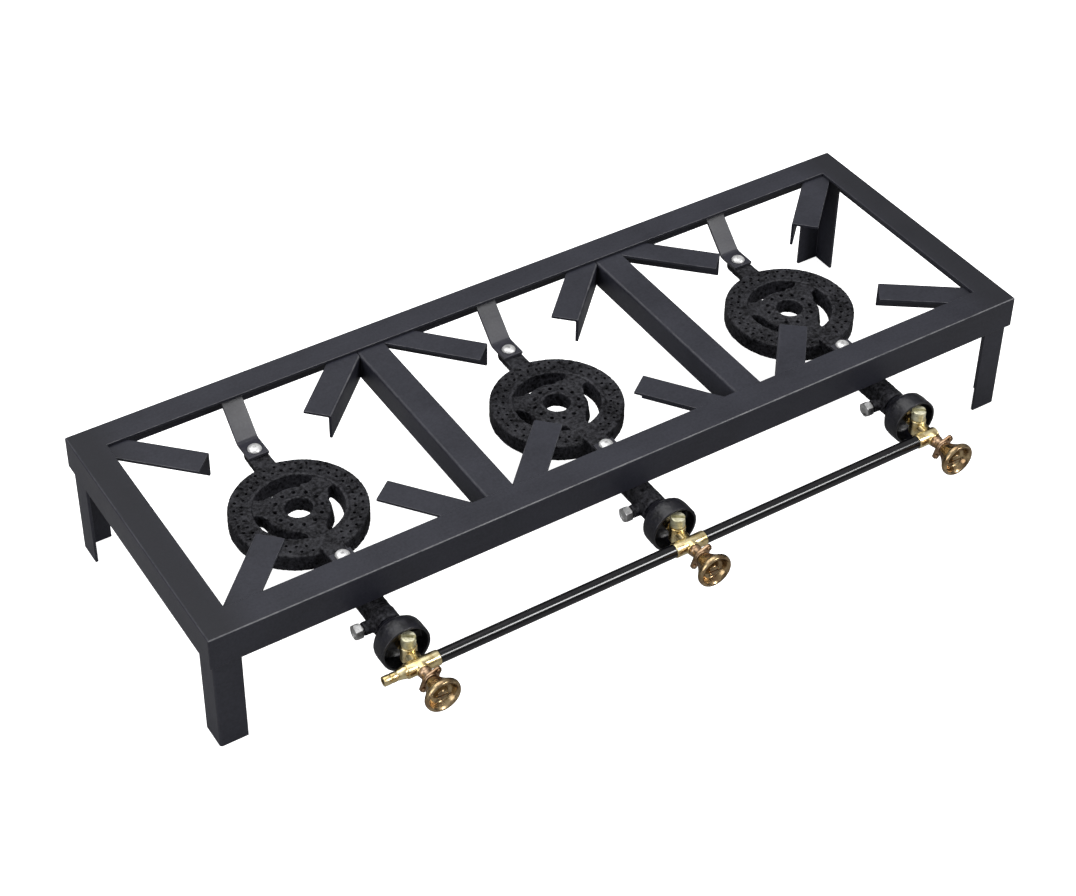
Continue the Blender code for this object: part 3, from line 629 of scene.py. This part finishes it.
def bead(start, end, radius, ripples):
    """One weld bead: a half-buried rod whose skin steps along its length."""
    start = Vector(start)
    axis = Vector(end) - start
    steps = ripples * 4
    profile = [(0, 0)]
    for i in range(steps + 1):
        t = i / steps
        swell = 1 - 0.22 * abs(math.sin(math.pi * ripples * t)) ** 3
        ends = min(1.0, 6 * t + 0.35, 6 * (1 - t) + 0.35)
        profile.append((radius * swell * ends, axis.length * t))
    profile.append((0, axis.length))
    mesh = turned(profile, 12)
    mesh.transform(aimed(start, axis))
    return mesh


def make_welds():
    """Beads under the flanges, where legs, cross bars and straps meet the rails."""
    beads = []
    radius = BEAD_RADIUS
    for leg in ("front_left_leg", "front_right_leg", "rear_left_leg", "rear_right_leg"):
        low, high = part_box(leg)
        rail_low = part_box("front_rail")[0].z + 0.002
        side_x = 1 if low.x > 0 else -1
        side_y = 1 if low.y > 0 else -1
        toe_x = low.x if side_x > 0 else high.x
        toe_y = low.y if side_y > 0 else high.y
        wall_x = (high.x if side_x > 0 else low.x) + side_x * BEAD_PROUD
        wall_y = (high.y if side_y > 0 else low.y) + side_y * BEAD_PROUD
        beads.append(bead((toe_x, wall_y, rail_low), (toe_x, wall_y, high.z - 0.004), radius, 7))
        beads.append(bead((wall_x, toe_y, rail_low), (wall_x, toe_y, high.z - 0.004), radius, 7))
    for bar in ("left_cross_bar", "right_cross_bar"):
        low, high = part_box(bar)
        under = high.z - STEEL
        for y in (low.y, high.y):
            beads.append(bead((low.x, y, low.z + 0.002), (low.x, y, high.z - 0.006), radius, 7))
            beads.append(bead((low.x + 0.006, y, under), (high.x - 0.002, y, under), radius, 7))
    for station in STATIONS:
        for side in ("front", "rear"):
            low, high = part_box(f"{station}_{side}_strap")
            y = low.y if side == "front" else high.y
            z = high.z - STEEL - 0.0005
            beads.append(bead((low.x + 0.002, y, z), (high.x - 0.002, y, z), radius * 0.8, 6))
    piece("frame_weld_beads", together(beads), WELD, sharp=0)


# ---- burners -------------------------------------------------------------------------------
def burner_blanks():
    """The casting's shapes about the burner's middle, before they are melted together."""
    top = BURNER_TOP
    low = BURNER_BOTTOM - 0.0002
    ring = [
        (RING_BORE - 0.0022, low),
        (RING_BORE - 0.0002, top + 0.0002),
        (RING_BORE + 0.0030, top + 0.0004),
        (RING_BORE + 0.0044, top - 0.0008),
        (RING_RADIUS - 0.0010, top - 0.0002),
        (RING_RADIUS + 0.0005, top - 0.0014),
        (RING_RADIUS + 0.0005, low),
    ]
    hub = [
        (HUB_BORE, low),
        (HUB_BORE, HUB_TOP + 0.0004),
        (HUB_BORE + 0.0030, HUB_TOP + 0.0004),
        (HUB_BORE + 0.0042, HUB_TOP - 0.0010),
        (HUB_RADIUS - 0.0018, HUB_TOP - 0.0010),
        (HUB_RADIUS, HUB_TOP - 0.0028),
        (HUB_RADIUS + 0.0022, low),
    ]
    shapes = [turned(ring, 96), turned(hub, 64)]
    for angle in SPOKE_ANGLES:
        half = SPOKE_WIDTH / 2
        side = [
            (HUB_RADIUS - 0.004, half + SPOKE_FLARE + 0.0028),
            (HUB_RADIUS + 0.0003, half + SPOKE_FLARE),
            (HUB_RADIUS + 0.0030, half + 0.0009),
            (HUB_RADIUS + 0.0065, half),
            (RING_BORE - 0.0030, half + 0.0009),
            (RING_BORE - 0.0003, half + SPOKE_FLARE),
            (RING_BORE + 0.004, half + SPOKE_FLARE + 0.0028),
        ]
        outline = [(x, -y) for x, y in side] + side[::-1]
        spoke = slab(outline, low + 0.0015, HUB_TOP - 0.0004)
        spoke.transform(Matrix.Rotation(math.radians(angle), 4, "Z"))
        shapes.append(spoke)
    return shapes + lug_blanks() + feed_blanks()


def lug_blanks():
    """The thin rear lug, and the tall front one on the feed duct."""
    low = REAR_LUG_TOP - LUG_THICK
    lugs = []
    for reach, root, top, turn in (
        (REAR_REACH, RING_RADIUS - 0.012, REAR_LUG_TOP, 0),
        (FRONT_REACH, RING_RADIUS - 0.004, FRONT_LUG_TOP, math.pi),
    ):
        half = LUG_WIDTH / 2
        outline = [(half + 0.001, root)] + arc((0, reach + 0.002), half, 0, 180, 24) + [(-half - 0.001, root)]
        lug = slab(outline, low, top)
        lug.transform(Matrix.Rotation(turn, 4, "Z"))
        lugs.append(lug)
    return lugs


def feed_blanks():
    """Duct, ribbed feed tube with its end collar, and the set screw's boss."""
    duct_z = BURNER_BOTTOM + DUCT_RADIUS
    shapes = [rod(DUCT_RADIUS, (0, -RING_RADIUS + 0.008, duct_z), (0, -DUCT_END - 0.004, duct_z))]
    shapes.append(rod(SOCKET_RADIUS, (0, -DUCT_END, FEED_Z), (0, -SOCKET_END, FEED_Z), 48))
    collar = SOCKET_RADIUS + 0.0010
    shapes.append(rod(collar, (0, -SOCKET_END + 0.015, FEED_Z), (0, -SOCKET_END + 0.0004, FEED_Z), 48))
    for side in (-1, 1):
        rib = (side * 0.0060, -DUCT_END - 0.002, FEED_Z + 0.0082)
        shapes.append(rod(0.0040, rib, (rib[0], -SOCKET_END + 0.012, rib[2]), 24))
    boss_y = -SET_SCREW_Y
    shapes.append(rod(0.0063, (-0.008, boss_y, FEED_Z), (-0.0214, boss_y, FEED_Z), 32))
    return shapes


def port_ring(circle, count, radius, offset, top):
    """Drilled ports in a circle, with room left beside the front lug's root."""
    holes = []
    for i in range(count):
        turn = math.tau * (i + offset) / count
        x = circle * math.cos(turn)
        y = circle * math.sin(turn)
        if circle > RING_BORE and abs(x) < LUG_WIDTH / 2 + 0.001 and y < 0:
            continue
        holes.append(rod(radius, (x, y, top - 0.006), (x, y, top + 0.003), 12))
    return holes


def burner_cutters():
    """Gas ports on the ring and the hub, screw holes and the mixer's socket."""
    inner, outer = RING_PORT_ROWS
    holes = port_ring(inner, RING_PORTS, RING_PORT_RADIUS, 0.0, BURNER_TOP)
    holes += port_ring(outer, RING_PORTS, RING_PORT_RADIUS, 0.5, BURNER_TOP)
    holes += port_ring(PORT_CIRCLE, HUB_PORTS, HUB_PORT_RADIUS, 0.5, HUB_TOP)
    rear_low = REAR_LUG_TOP - LUG_THICK - 0.002
    holes.append(rod(SCREW_HOLE, (0, REAR_REACH, rear_low), (0, REAR_REACH, REAR_LUG_TOP + 0.003), 20))
    front_low = FRONT_LUG_TOP - 0.0058
    holes.append(rod(SCREW_HOLE, (0, -FRONT_REACH, front_low), (0, -FRONT_REACH, FRONT_LUG_TOP + 0.003), 20))
    socket = SPIGOT_RADIUS + FIT
    holes.append(rod(socket, (0, -SOCKET_END + 0.030, FEED_Z), (0, -SOCKET_END - 0.003, FEED_Z), 40))
    holes.append(rod(SCREW_HOLE, (-0.0115, -SET_SCREW_Y, FEED_Z), (-0.025, -SET_SCREW_Y, FEED_Z), 20))
    return holes


def make_burners():
    """The same casting at each station."""
    casting = fused(burner_blanks(), 0.0009, 0.00028, 330.0)
    casting = cut(casting, *burner_cutters())
    for station in STATIONS:
        node = f"{station}_burner"
        piece(node + "_casting", casting, IRON, [node], at=burners[station], sharp=45)


# ---- straps and their screws ---------------------------------------------------------------
def strap_shape(foot_low, hole_y):
    """A flat bar bent twice: foot on the lug, slope, and a lip welded under the rail."""
    bend = math.tan(math.radians(22.5)) * STEEL / 2
    middle_low = foot_low + STEEL / 2
    middle_high = FLANGE_UNDER - STEEL / 2
    slope_start = STRAP_BEND + bend
    slope_end = slope_start + middle_high - middle_low
    lip = 0.0022
    bend_radius = 0.0035
    corners = [
        (STRAP_FOOT_END, middle_low),
        (slope_start, middle_low),
        (slope_end, middle_high),
        (slope_end + lip, middle_high),
    ]
    path = [Vector(p) for p in fillet(corners, bend_radius, 6)]
    upper = []
    lower = []
    for i, point in enumerate(path):
        along = path[min(i + 1, len(path) - 1)] - path[max(i - 1, 0)]
        across = Vector((-along.y, along.x)).normalized() * STEEL / 2
        upper.append(tuple(point + across))
        lower.append(tuple(point - across))
    strap = slab(upper + lower[::-1], -STRAP_WIDTH / 2, STRAP_WIDTH / 2)
    strap.transform(Matrix(((0, 0, 1, 0), (1, 0, 0, 0), (0, 1, 0, 0), (0, 0, 0, 1))))
    hole = rod(SCREW_HOLE, (0, hole_y, foot_low - 0.002), (0, hole_y, foot_low + 0.006), 24)
    return softened(cut(strap, hole), 0.0004, 50)


def pan_screw(length):
    """Pan-head screw with a cross recess and a threaded shank, pointing down."""
    head = 0.0070
    tall = 0.0033
    dome = [(0, tall), (0.50 * head, 0.94 * tall), (0.84 * head, 0.66 * tall), (head, 0.22 * tall), (head, 0)]
    profile = fillet(dome, 0.0012, 4) + [(0.0031, 0)]
    for i in range(int(length / THREAD_PITCH)):
        crest = -i * THREAD_PITCH - 0.0002
        profile += [(SCREW_SHANK, crest), (THREAD_ROOT, crest - 0.0004)]
    profile += [(0.0024, -length), (0, -length)]
    screw = turned(profile, 48)
    recess = []
    long = 0.0024
    wide = 0.0009
    for angle in (35, 125):
        wing = block((-long, -wide, tall - 0.0022), (long, wide, tall + 0.002))
        for vertex in wing.vertices:
            if vertex.co.z < tall:
                vertex.co.x *= 0.55
        wing.transform(Matrix.Rotation(math.radians(angle), 4, "Z"))
        recess.append(wing)
    return cut(cut(screw, recess[0]), recess[1])


def hex_prism(radius, length):
    """Hexagon along Z with its corners turned off at both ends, as on nuts and bolt heads."""
    blank = slab(arc((0, 0), radius, 0, 300, 5), 0, length)
    flat = radius * 0.90
    wide = radius + 0.0001
    chamfer = 0.0008
    limit = [(0, 0), (flat, 0), (wide, chamfer), (wide, length - chamfer), (flat, length), (0, length)]
    return combined(blank, turned(limit, 48), "INTERSECT")


def make_straps():
    """Straps, lug screws and rear nuts at each station."""
    seat = STEEL + 2 * FIT
    front_strap = strap_shape(FRONT_LUG_TOP + FIT, FRONT_REACH)
    front_strap.transform(Matrix.Rotation(math.pi, 4, "Z"))
    ends = {
        "rear": (strap_shape(REAR_LUG_TOP + FIT, REAR_REACH), pan_screw(seat + LUG_THICK + 0.007)),
        "front": (front_strap, pan_screw(seat + 0.0055)),
    }
    seats = {
        "rear": Vector((0, REAR_REACH, REAR_LUG_TOP + seat)),
        "front": Vector((0, -FRONT_REACH, FRONT_LUG_TOP + seat)),
    }
    nut = cut(hex_prism(NUT_RADIUS, NUT_THICK), rod(0.0031, (0, 0, -0.002), (0, 0, NUT_THICK + 0.002), 32))
    nut_place = Vector((0, REAR_REACH, REAR_LUG_TOP - LUG_THICK - FIT - NUT_THICK))
    for station in STATIONS:
        middle = burners[station]
        for end, (shape, screw) in ends.items():
            node = f"{station}_{end}_strap"
            piece(node + "_bar", shape, STRAP_PAINT_LIT, [node], at=middle, weighted=True, sharp=50)
            node = f"{station}_{end}_lug_screw"
            piece(node + "_pan_head", screw, ZINC, [node], at=middle + seats[end], sharp=35)
        node = f"{station}_rear_lug_nut"
        piece(node + "_hex", nut, HEX_ZINC, [node], at=middle + nut_place, sharp=25)


# ---- mixers --------------------------------------------------------------------------------
def bell_casting():
    """Spigot, shoulder and open bell with its cast-in bridge, about Z towards the mouth."""
    inner = BELL_RADIUS - BELL_WALL
    shoulder = SOCKET_END + FIT
    profile = [
        (THROAT_RADIUS, SOCKET_END - SPIGOT_LENGTH),
        (SPIGOT_RADIUS, SOCKET_END - SPIGOT_LENGTH),
        (SPIGOT_RADIUS, shoulder),
        (0.0122, shoulder),
        (0.0124, shoulder + 0.0030),
        (0.0146, BELL_BACK - 0.0034),
        (BELL_RADIUS - 0.0045, BELL_BACK - 0.0015),
        (BELL_RADIUS - 0.0006, BELL_BACK + 0.0030),
        (BELL_RADIUS, BELL_BACK + 0.0080),
        (BELL_RADIUS, BELL_MOUTH),
        (inner + 0.0003, BELL_MOUTH),
        (inner, BELL_BACK + 0.0060),
        (inner - 0.0045, BELL_BACK + 0.0020),
        (THROAT_RADIUS, BELL_BACK - 0.0010),
    ]
    bell = turned(fillet(profile, 0.0012, 3), 96)
    reach = inner + 0.001
    low = BRIDGE_Y - BRIDGE_HALF_THICK
    high = BRIDGE_Y + BRIDGE_HALF_THICK
    bar = block((-reach, -BRIDGE_HALF_WIDTH, low), (reach, BRIDGE_HALF_WIDTH, high))
    eye = rod(BRIDGE_EYE, (0, 0, low - 0.0002), (0, 0, high + 0.0002), 40)
    casting = fused([bell, bar, eye], 0.0007, 0.00016, 320.0)
    return cut(casting, rod(JET_HOLE, (0, 0, BRIDGE_Y - 0.006), (0, 0, BRIDGE_Y + 0.006), 40))


def set_screw():
    """Hex-head screw lying along -X, its threads running into the boss."""
    length = SET_HEAD_START - SPIGOT_RADIUS - FIT
    profile = [(0, 0), (THREAD_ROOT, 0)]
    for i in range(int(length / THREAD_PITCH)):
        crest = i * THREAD_PITCH + 0.0004
        profile += [(SCREW_SHANK, crest), (THREAD_ROOT, crest + 0.0005)]
    profile += [(SCREW_SHANK, length), (0, length)]
    shank = turned(profile, 32)
    shank.transform(Matrix.Translation((0, 0, SPIGOT_RADIUS + FIT)))
    head = hex_prism(SET_HEAD_RADIUS, SET_HEAD_END - SET_HEAD_START)
    head.transform(Matrix.Translation((0, 0, SET_HEAD_START)) @ Matrix.Rotation(math.radians(12), 4, "Z"))
    dished = rod(0.0048, (0, 0, SET_HEAD_END - 0.0007), (0, 0, SET_HEAD_END + 0.002), 32)
    screw = unite(cut(head, dished), shank)
    screw.transform(Matrix.Rotation(-math.pi / 2, 4, "Y"))
    return screw


def make_mixers():
    """Bell and set screw at each station."""
    bell = bell_casting()
    bell.transform(Matrix.Rotation(math.pi / 2, 4, "X"))
    screw = set_screw()
    for station in STATIONS:
        axis = burners[station] + Vector((0, 0, FEED_Z))
        node = f"{station}_mixer_bell"
        piece(node + "_casting", bell, ENAMEL_IRON, [node], at=axis, sharp=45)
        node = f"{station}_set_screw"
        place = axis + Vector((0, -SET_SCREW_Y, 0))
        piece(node + "_hex_head", screw, HEX_ZINC, [node], at=place, sharp=28)


# ---- taps ----------------------------------------------------------------------------------
def run_shape(start, end):
    """The tap's cross pipe along X, its ends softly rounded."""
    profile = [(0, start), (TEE_RADIUS, start), (TEE_RADIUS, end), (0, end)]
    shape = turned(fillet(profile, 0.0009, 4), 64)
    shape.transform(Matrix.Rotation(math.pi / 2, 4, "Y"))
    return shape


def bonnet_shape():
    """Neck and two-eared plate behind the knob, tilted, with a raised centre."""
    lobe = 0.0032
    waist = 0.0080
    outline = arc((BONNET_EAR, 0), lobe, -72, 72, 12) + arc((0, 0), waist, 50, 130, 8)
    outline += arc((-BONNET_EAR, 0), lobe, 108, 252, 12) + arc((0, 0), waist, 230, 310, 8)
    plate = slab(outline, 0, BONNET_THICK)
    raised = turned(fillet([(0, 0.001), (0.0070, 0.001), (0.0070, 0.0040), (0, 0.0040)], 0.0006), 40)
    flared = 0.0064
    root = -0.0088
    neck = [
        (0, root),
        (flared, root),
        (flared, root + 0.0026),
        (NECK_RADIUS, root + 0.0038),
        (NECK_RADIUS, 0.001),
        (0, 0.001),
    ]
    shape = unite(plate, raised, turned(fillet(neck, 0.0006), 48))
    shape = cut(shape, rod(STEM_HOLE, (0, 0, -0.012), (0, 0, 0.008), 32))
    shape = softened(shape, 0.0003, 45)
    upright = Matrix.Rotation(math.pi / 2, 4, "X") @ Matrix.Rotation(math.radians(45), 4, "Z")
    shape.transform(Matrix.Translation((0, -NECK_REACH + 0.003, 0)) @ upright)
    return shape


def inlet_shape():
    """Tapered hose nipple with two shallow grooves, along -X from the left tap."""
    profile = [(0, 0.010), (0.0061, 0.010), (0.0060, 0.0160), (0.0052, 0.0190)]
    for step in (0.0225, 0.0285):
        profile += [(0.0047, step), (0.0044, step + 0.0004), (0.0047, step + 0.0020)]
    profile += [(0.0047, INLET_REACH), (0, INLET_REACH)]
    shape = turned(fillet(profile, 0.0008, 4), 64)
    shape.transform(Matrix.Rotation(-math.pi / 2, 4, "Y"))
    return shape


def tap_casting(start, end, open_start, open_end, inlet):
    """One tap's brass body: run, column, neck and nipples in one smooth piece."""
    half = COLUMN_HALF
    column = [(0, -half), (COLUMN_RADIUS, -half), (COLUMN_RADIUS, half), (0, half)]
    column = turned(fillet(column, 0.0009, 4), 64)
    column.transform(Matrix.Translation((0, COLUMN_BACK, 0)))
    neck = turned(fillet([(0, 0.001), (0.0069, 0.001), (0.0069, 0.0081), (0, 0.0081)], 0.0008, 3), 64)
    neck.transform(Matrix.Rotation(math.pi / 2, 4, "X"))
    link = rod(0.0064, (0, 0, 0), (0, COLUMN_BACK, 0), 48)
    body = unite(run_shape(start, end), link, column, neck)
    holes = [rod(STEM_HOLE, (0, 0.001, 0), (0, -NECK_REACH - 0.004, 0), 32)]
    holes.append(rod(JET_HOLE, (0, COLUMN_BACK, 0), (0, COLUMN_BACK + 0.012, 0), 32))
    for side, reach, is_open in ((-1, -start, open_start), (1, end, open_end)):
        if is_open:
            tip = side * (reach + NIPPLE_LENGTH)
            body = unite(body, rod(PIPE_BORE - FIT, (side * (reach - 0.005), 0, 0), (tip, 0, 0), 48))
            holes.append(rod(NIPPLE_BORE, (side * (reach - 0.010), 0, 0), (side * (reach + 0.013), 0, 0), 32))
    if inlet:
        body = unite(body, inlet_shape())
        holes.append(rod(INLET_BORE, (-0.012, 0, 0), (-INLET_REACH - 0.0035, 0, 0), 32))
    return cut(body, *holes)


def slotted_plug():
    """Zinc cap screw with a wide slot and a fine turned rim."""
    profile = [(0, 0), (PLUG_RADIUS, 0), (PLUG_RADIUS, PLUG_HEIGHT), (0, PLUG_HEIGHT)]
    plug = turned(fillet(profile, 0.0011, 5), 64)
    depth = 0.0052
    half = 0.0019
    slot = block((-0.012, -half, PLUG_HEIGHT - depth), (0.012, half, PLUG_HEIGHT + 0.002))
    slot.transform(Matrix.Rotation(math.radians(-35), 4, "Z"))
    shank = rod(0.0040, (0, 0, -0.0044), (0, 0, 0.002), 32)
    return unite(cut(plug, slot), shank)


def jet_shape():
    """Turned brass jet with a hexagon, pointing at the mixer along Y."""
    nose = 0.0245
    barrel = 0.0040
    profile = [
        (0, 0.0006),
        (barrel, 0.0006),
        (barrel, nose - 0.0045),
        (0.0026, nose),
        (0.0011, nose),
        (0.0010, nose - 0.004),
        (0, nose - 0.004),
    ]
    jet = turned(fillet(profile, 0.0004, 3), 40)
    collar = hex_prism(0.0062, 0.0060)
    collar.transform(Matrix.Translation((0, 0, 0.0082)))
    whole = unite(jet, collar)
    whole.transform(Matrix.Rotation(-math.pi / 2, 4, "X"))
    return whole


def knob_shape():
    """Dished handwheel: rolled rim, hollow face, raised boss, flared skirt and stem."""
    front = KNOB_FRONT
    rim = KNOB_RADIUS
    face = [
        (0, front - 0.0026),
        (0.0044, front - 0.0026),
        (0.0054, front - 0.0040),
        (0.0060, front - 0.0078),
        (0.0085, front - 0.0085),
        (rim - 0.0062, front - 0.0068),
        (rim - 0.0042, front - 0.0022),
        (rim - 0.0026, front),
        (rim - 0.0010, front),
        (rim, front - 0.0018),
        (rim, front - 0.0046),
        (rim - 0.0016, front - 0.0068),
        (rim - 0.0032, front - 0.0084),
        (0.0108, KNOB_BACK + 0.0066),
        (0.0088, KNOB_BACK + 0.0030),
        (0.0074, KNOB_BACK),
        (STEM_RADIUS, KNOB_BACK),
        (STEM_RADIUS, 0.004),
        (0, 0.004),
    ]
    knob = turned(fillet(face, 0.0009, 4), 96)
    slot = block((-0.0056, -0.0006, front - 0.0040), (0.0056, 0.0006, front + 0.001))
    knob = cut(knob, slot)
    knob.transform(Matrix.Rotation(math.pi / 2, 4, "X"))
    return knob


def bonnet_screw_shape():
    """Small cheese-head screw facing -Y."""
    head = turned(fillet([(0, -0.001), (0.0022, -0.001), (0.0022, 0.0014), (0, 0.0014)], 0.0004), 24)
    slot = block((-0.003, -0.0003, 0.0007), (0.003, 0.0003, 0.003))
    head = cut(head, slot)
    head.transform(Matrix.Rotation(math.pi / 2, 4, "X") @ Matrix.Rotation(math.radians(70), 4, "Z"))
    return head


def make_taps():
    """Bodies, bonnets, plugs, jets and turning knobs; the left tap has the gas inlet."""
    bodies = {
        "left": tap_casting(-TEE_SHORT, TEE_LONG, False, True, True),
        "middle": tap_casting(-TEE_HALF, TEE_HALF, True, True, False),
        "right": tap_casting(-TEE_HALF, 0.0065, True, False, False),
    }
    bonnet = bonnet_shape()
    plug = slotted_plug()
    jet = jet_shape()
    knob = knob_shape()
    small_screw = bonnet_screw_shape()
    column = Vector((0, COLUMN_BACK, 0))
    ear = BONNET_EAR * math.sqrt(0.5)
    for station in STATIONS:
        tap = taps[station]
        node = f"{station}_tap_body"
        piece(node + "_brass", bodies[station], BRASS, [node], at=tap, sharp=45)
        piece(f"{station}_bonnet_plate", bonnet, DARK_BRASS, at=tap, sharp=45)
        node = f"{station}_tap_plug"
        place = tap + column + Vector((0, 0, COLUMN_HALF + FIT))
        piece(node + "_zinc", plug, YELLOW_ZINC, [node], at=place, sharp=35)
        node = f"{station}_jet"
        piece(node + "_brass", jet, BRASS, [node], at=tap + column, sharp=35)
        node = f"{station}_knob"
        body = f"{station}_tap_knob"
        piece(node + "_wheel", knob, BRONZE, [node], body=body, at=tap, sharp=40)
        for side, label in ((1, "upper"), (-1, "lower")):
            place = tap + Vector((side * ear, -NECK_REACH, side * ear))
            name = f"{station}_bonnet_screw_{label}"
            piece(name, small_screw, DARK_BRASS, at=place, sharp=35)


def make_pipes():
    """The two manifold pipes between the taps, in short rings so that they shade evenly."""
    for node in ("left_manifold_pipe", "right_manifold_pipe"):
        low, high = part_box(node)
        length = high.x - low.x
        steps = 24
        outer = [(PIPE_RADIUS, length * i / steps) for i in range(steps + 1)]
        pipe = turned([(PIPE_BORE, 0), *outer, (PIPE_BORE, length)], 48)
        pipe.transform(Matrix.Rotation(math.pi / 2, 4, "Y"))
        place = Vector((low.x, (low.y + high.y) / 2, (low.z + high.z) / 2))
        piece(node + "_enamel", pipe, ENAMEL, [node], at=place, sharp=40)


# ---- studio --------------------------------------------------------------------------------
def make_floor():
    """A wide pale floor just under the feet, which throws only a little light back up."""
    half = 14.0
    floor = slab([(-half, -half), (half, -half), (half, half), (-half, half)], -0.0202, -0.0002, "floor")
    f = Finish("studio_floor")
    shade = f.noise(1.5, 3.0)
    seen = f.mix(shade, (0.86, 0.86, 0.86), (0.90, 0.90, 0.90))
    camera = f.add("ShaderNodeLightPath").outputs["Is Camera Ray"]
    colour = f.mix(camera, (0.30, 0.30, 0.30), seen)
    glow = f.math("MULTIPLY", camera, 0.88)
    paper = f.done(Base_Color=colour, Roughness=0.8, Emission_Color=(1, 1, 1, 1), Emission_Strength=glow)
    floor.materials.append(paper)
    obj = bpy.data.objects.new("floor", floor)
    bpy.context.scene.collection.objects.link(obj)


def make_world():
    """White backdrop; the light it throws is dim at the horizon and bright overhead."""
    world = bpy.data.worlds.new("studio")
    bpy.context.scene.world = world
    world.use_nodes = True
    tree = world.node_tree
    background = tree.nodes["Background"]
    place = tree.nodes.new("ShaderNodeTexCoord")
    split = tree.nodes.new("ShaderNodeSeparateXYZ")
    span = tree.nodes.new("ShaderNodeMapRange")
    tree.links.new(place.outputs["Generated"], split.inputs["Vector"])
    tree.links.new(split.outputs["Z"], span.inputs["Value"])
    for index, value in ((1, 0.05), (2, 0.85), (3, 0.07), (4, 0.55)):
        span.inputs[index].default_value = value
    seen = tree.nodes.new("ShaderNodeLightPath")
    strength = tree.nodes.new("ShaderNodeMath")
    strength.operation = "MAXIMUM"
    tree.links.new(span.outputs["Result"], strength.inputs[0])
    tree.links.new(seen.outputs["Is Camera Ray"], strength.inputs[1])
    tree.links.new(strength.outputs["Value"], background.inputs["Strength"])
    background.inputs["Color"].default_value = (1.0, 1.0, 1.0, 1.0)


def make_lights():
    """Broad soft lamps: in front on the right, overhead, and low on the left."""
    lamps = {
        "key": ((0.42, -0.60, 0.68), 1.3, 16),
        "overhead": ((-0.10, 0.35, 0.93), 1.3, 50),
        "left": ((-0.88, -0.10, 0.44), 1.15, 40),
    }
    for name, (towards, power, spread) in lamps.items():
        lamp = bpy.data.lights.new(name, "SUN")
        lamp.energy = power
        lamp.angle = math.radians(spread)
        obj = bpy.data.objects.new(name, lamp)
        bpy.context.scene.collection.objects.link(obj)
        obj.rotation_euler = Vector(towards).to_track_quat("Z", "Y").to_euler()


def make_camera():
    """Long lens from the front left, above, fitted to the photo's perspective."""
    azimuth = math.radians(-31.572)
    elevation = math.radians(36.983)
    level = math.cos(elevation)
    away = Vector((math.sin(azimuth) * level, -math.cos(azimuth) * level, math.sin(elevation)))
    camera = bpy.data.cameras.new("camera")
    camera.sensor_width = 36.0
    camera.lens = 77.468
    camera.shift_x = 0.04695
    camera.shift_y = -0.18342
    obj = bpy.data.objects.new("camera", camera)
    bpy.context.scene.collection.objects.link(obj)
    obj.location = (-0.9617, -1.3775, 1.5762)
    roll = Matrix.Rotation(math.radians(0.063), 4, "Z")
    obj.rotation_euler = (away.to_track_quat("Z", "Y").to_matrix().to_4x4() @ roll).to_euler()
    bpy.context.scene.camera = obj


dress_bars()
make_top_frame()
make_welds()
make_burners()
make_straps()
make_mixers()
make_taps()
make_pipes()
make_floor()
make_world()
make_lights()
make_camera()
bpy.context.scene.view_settings.view_transform = "Standard"
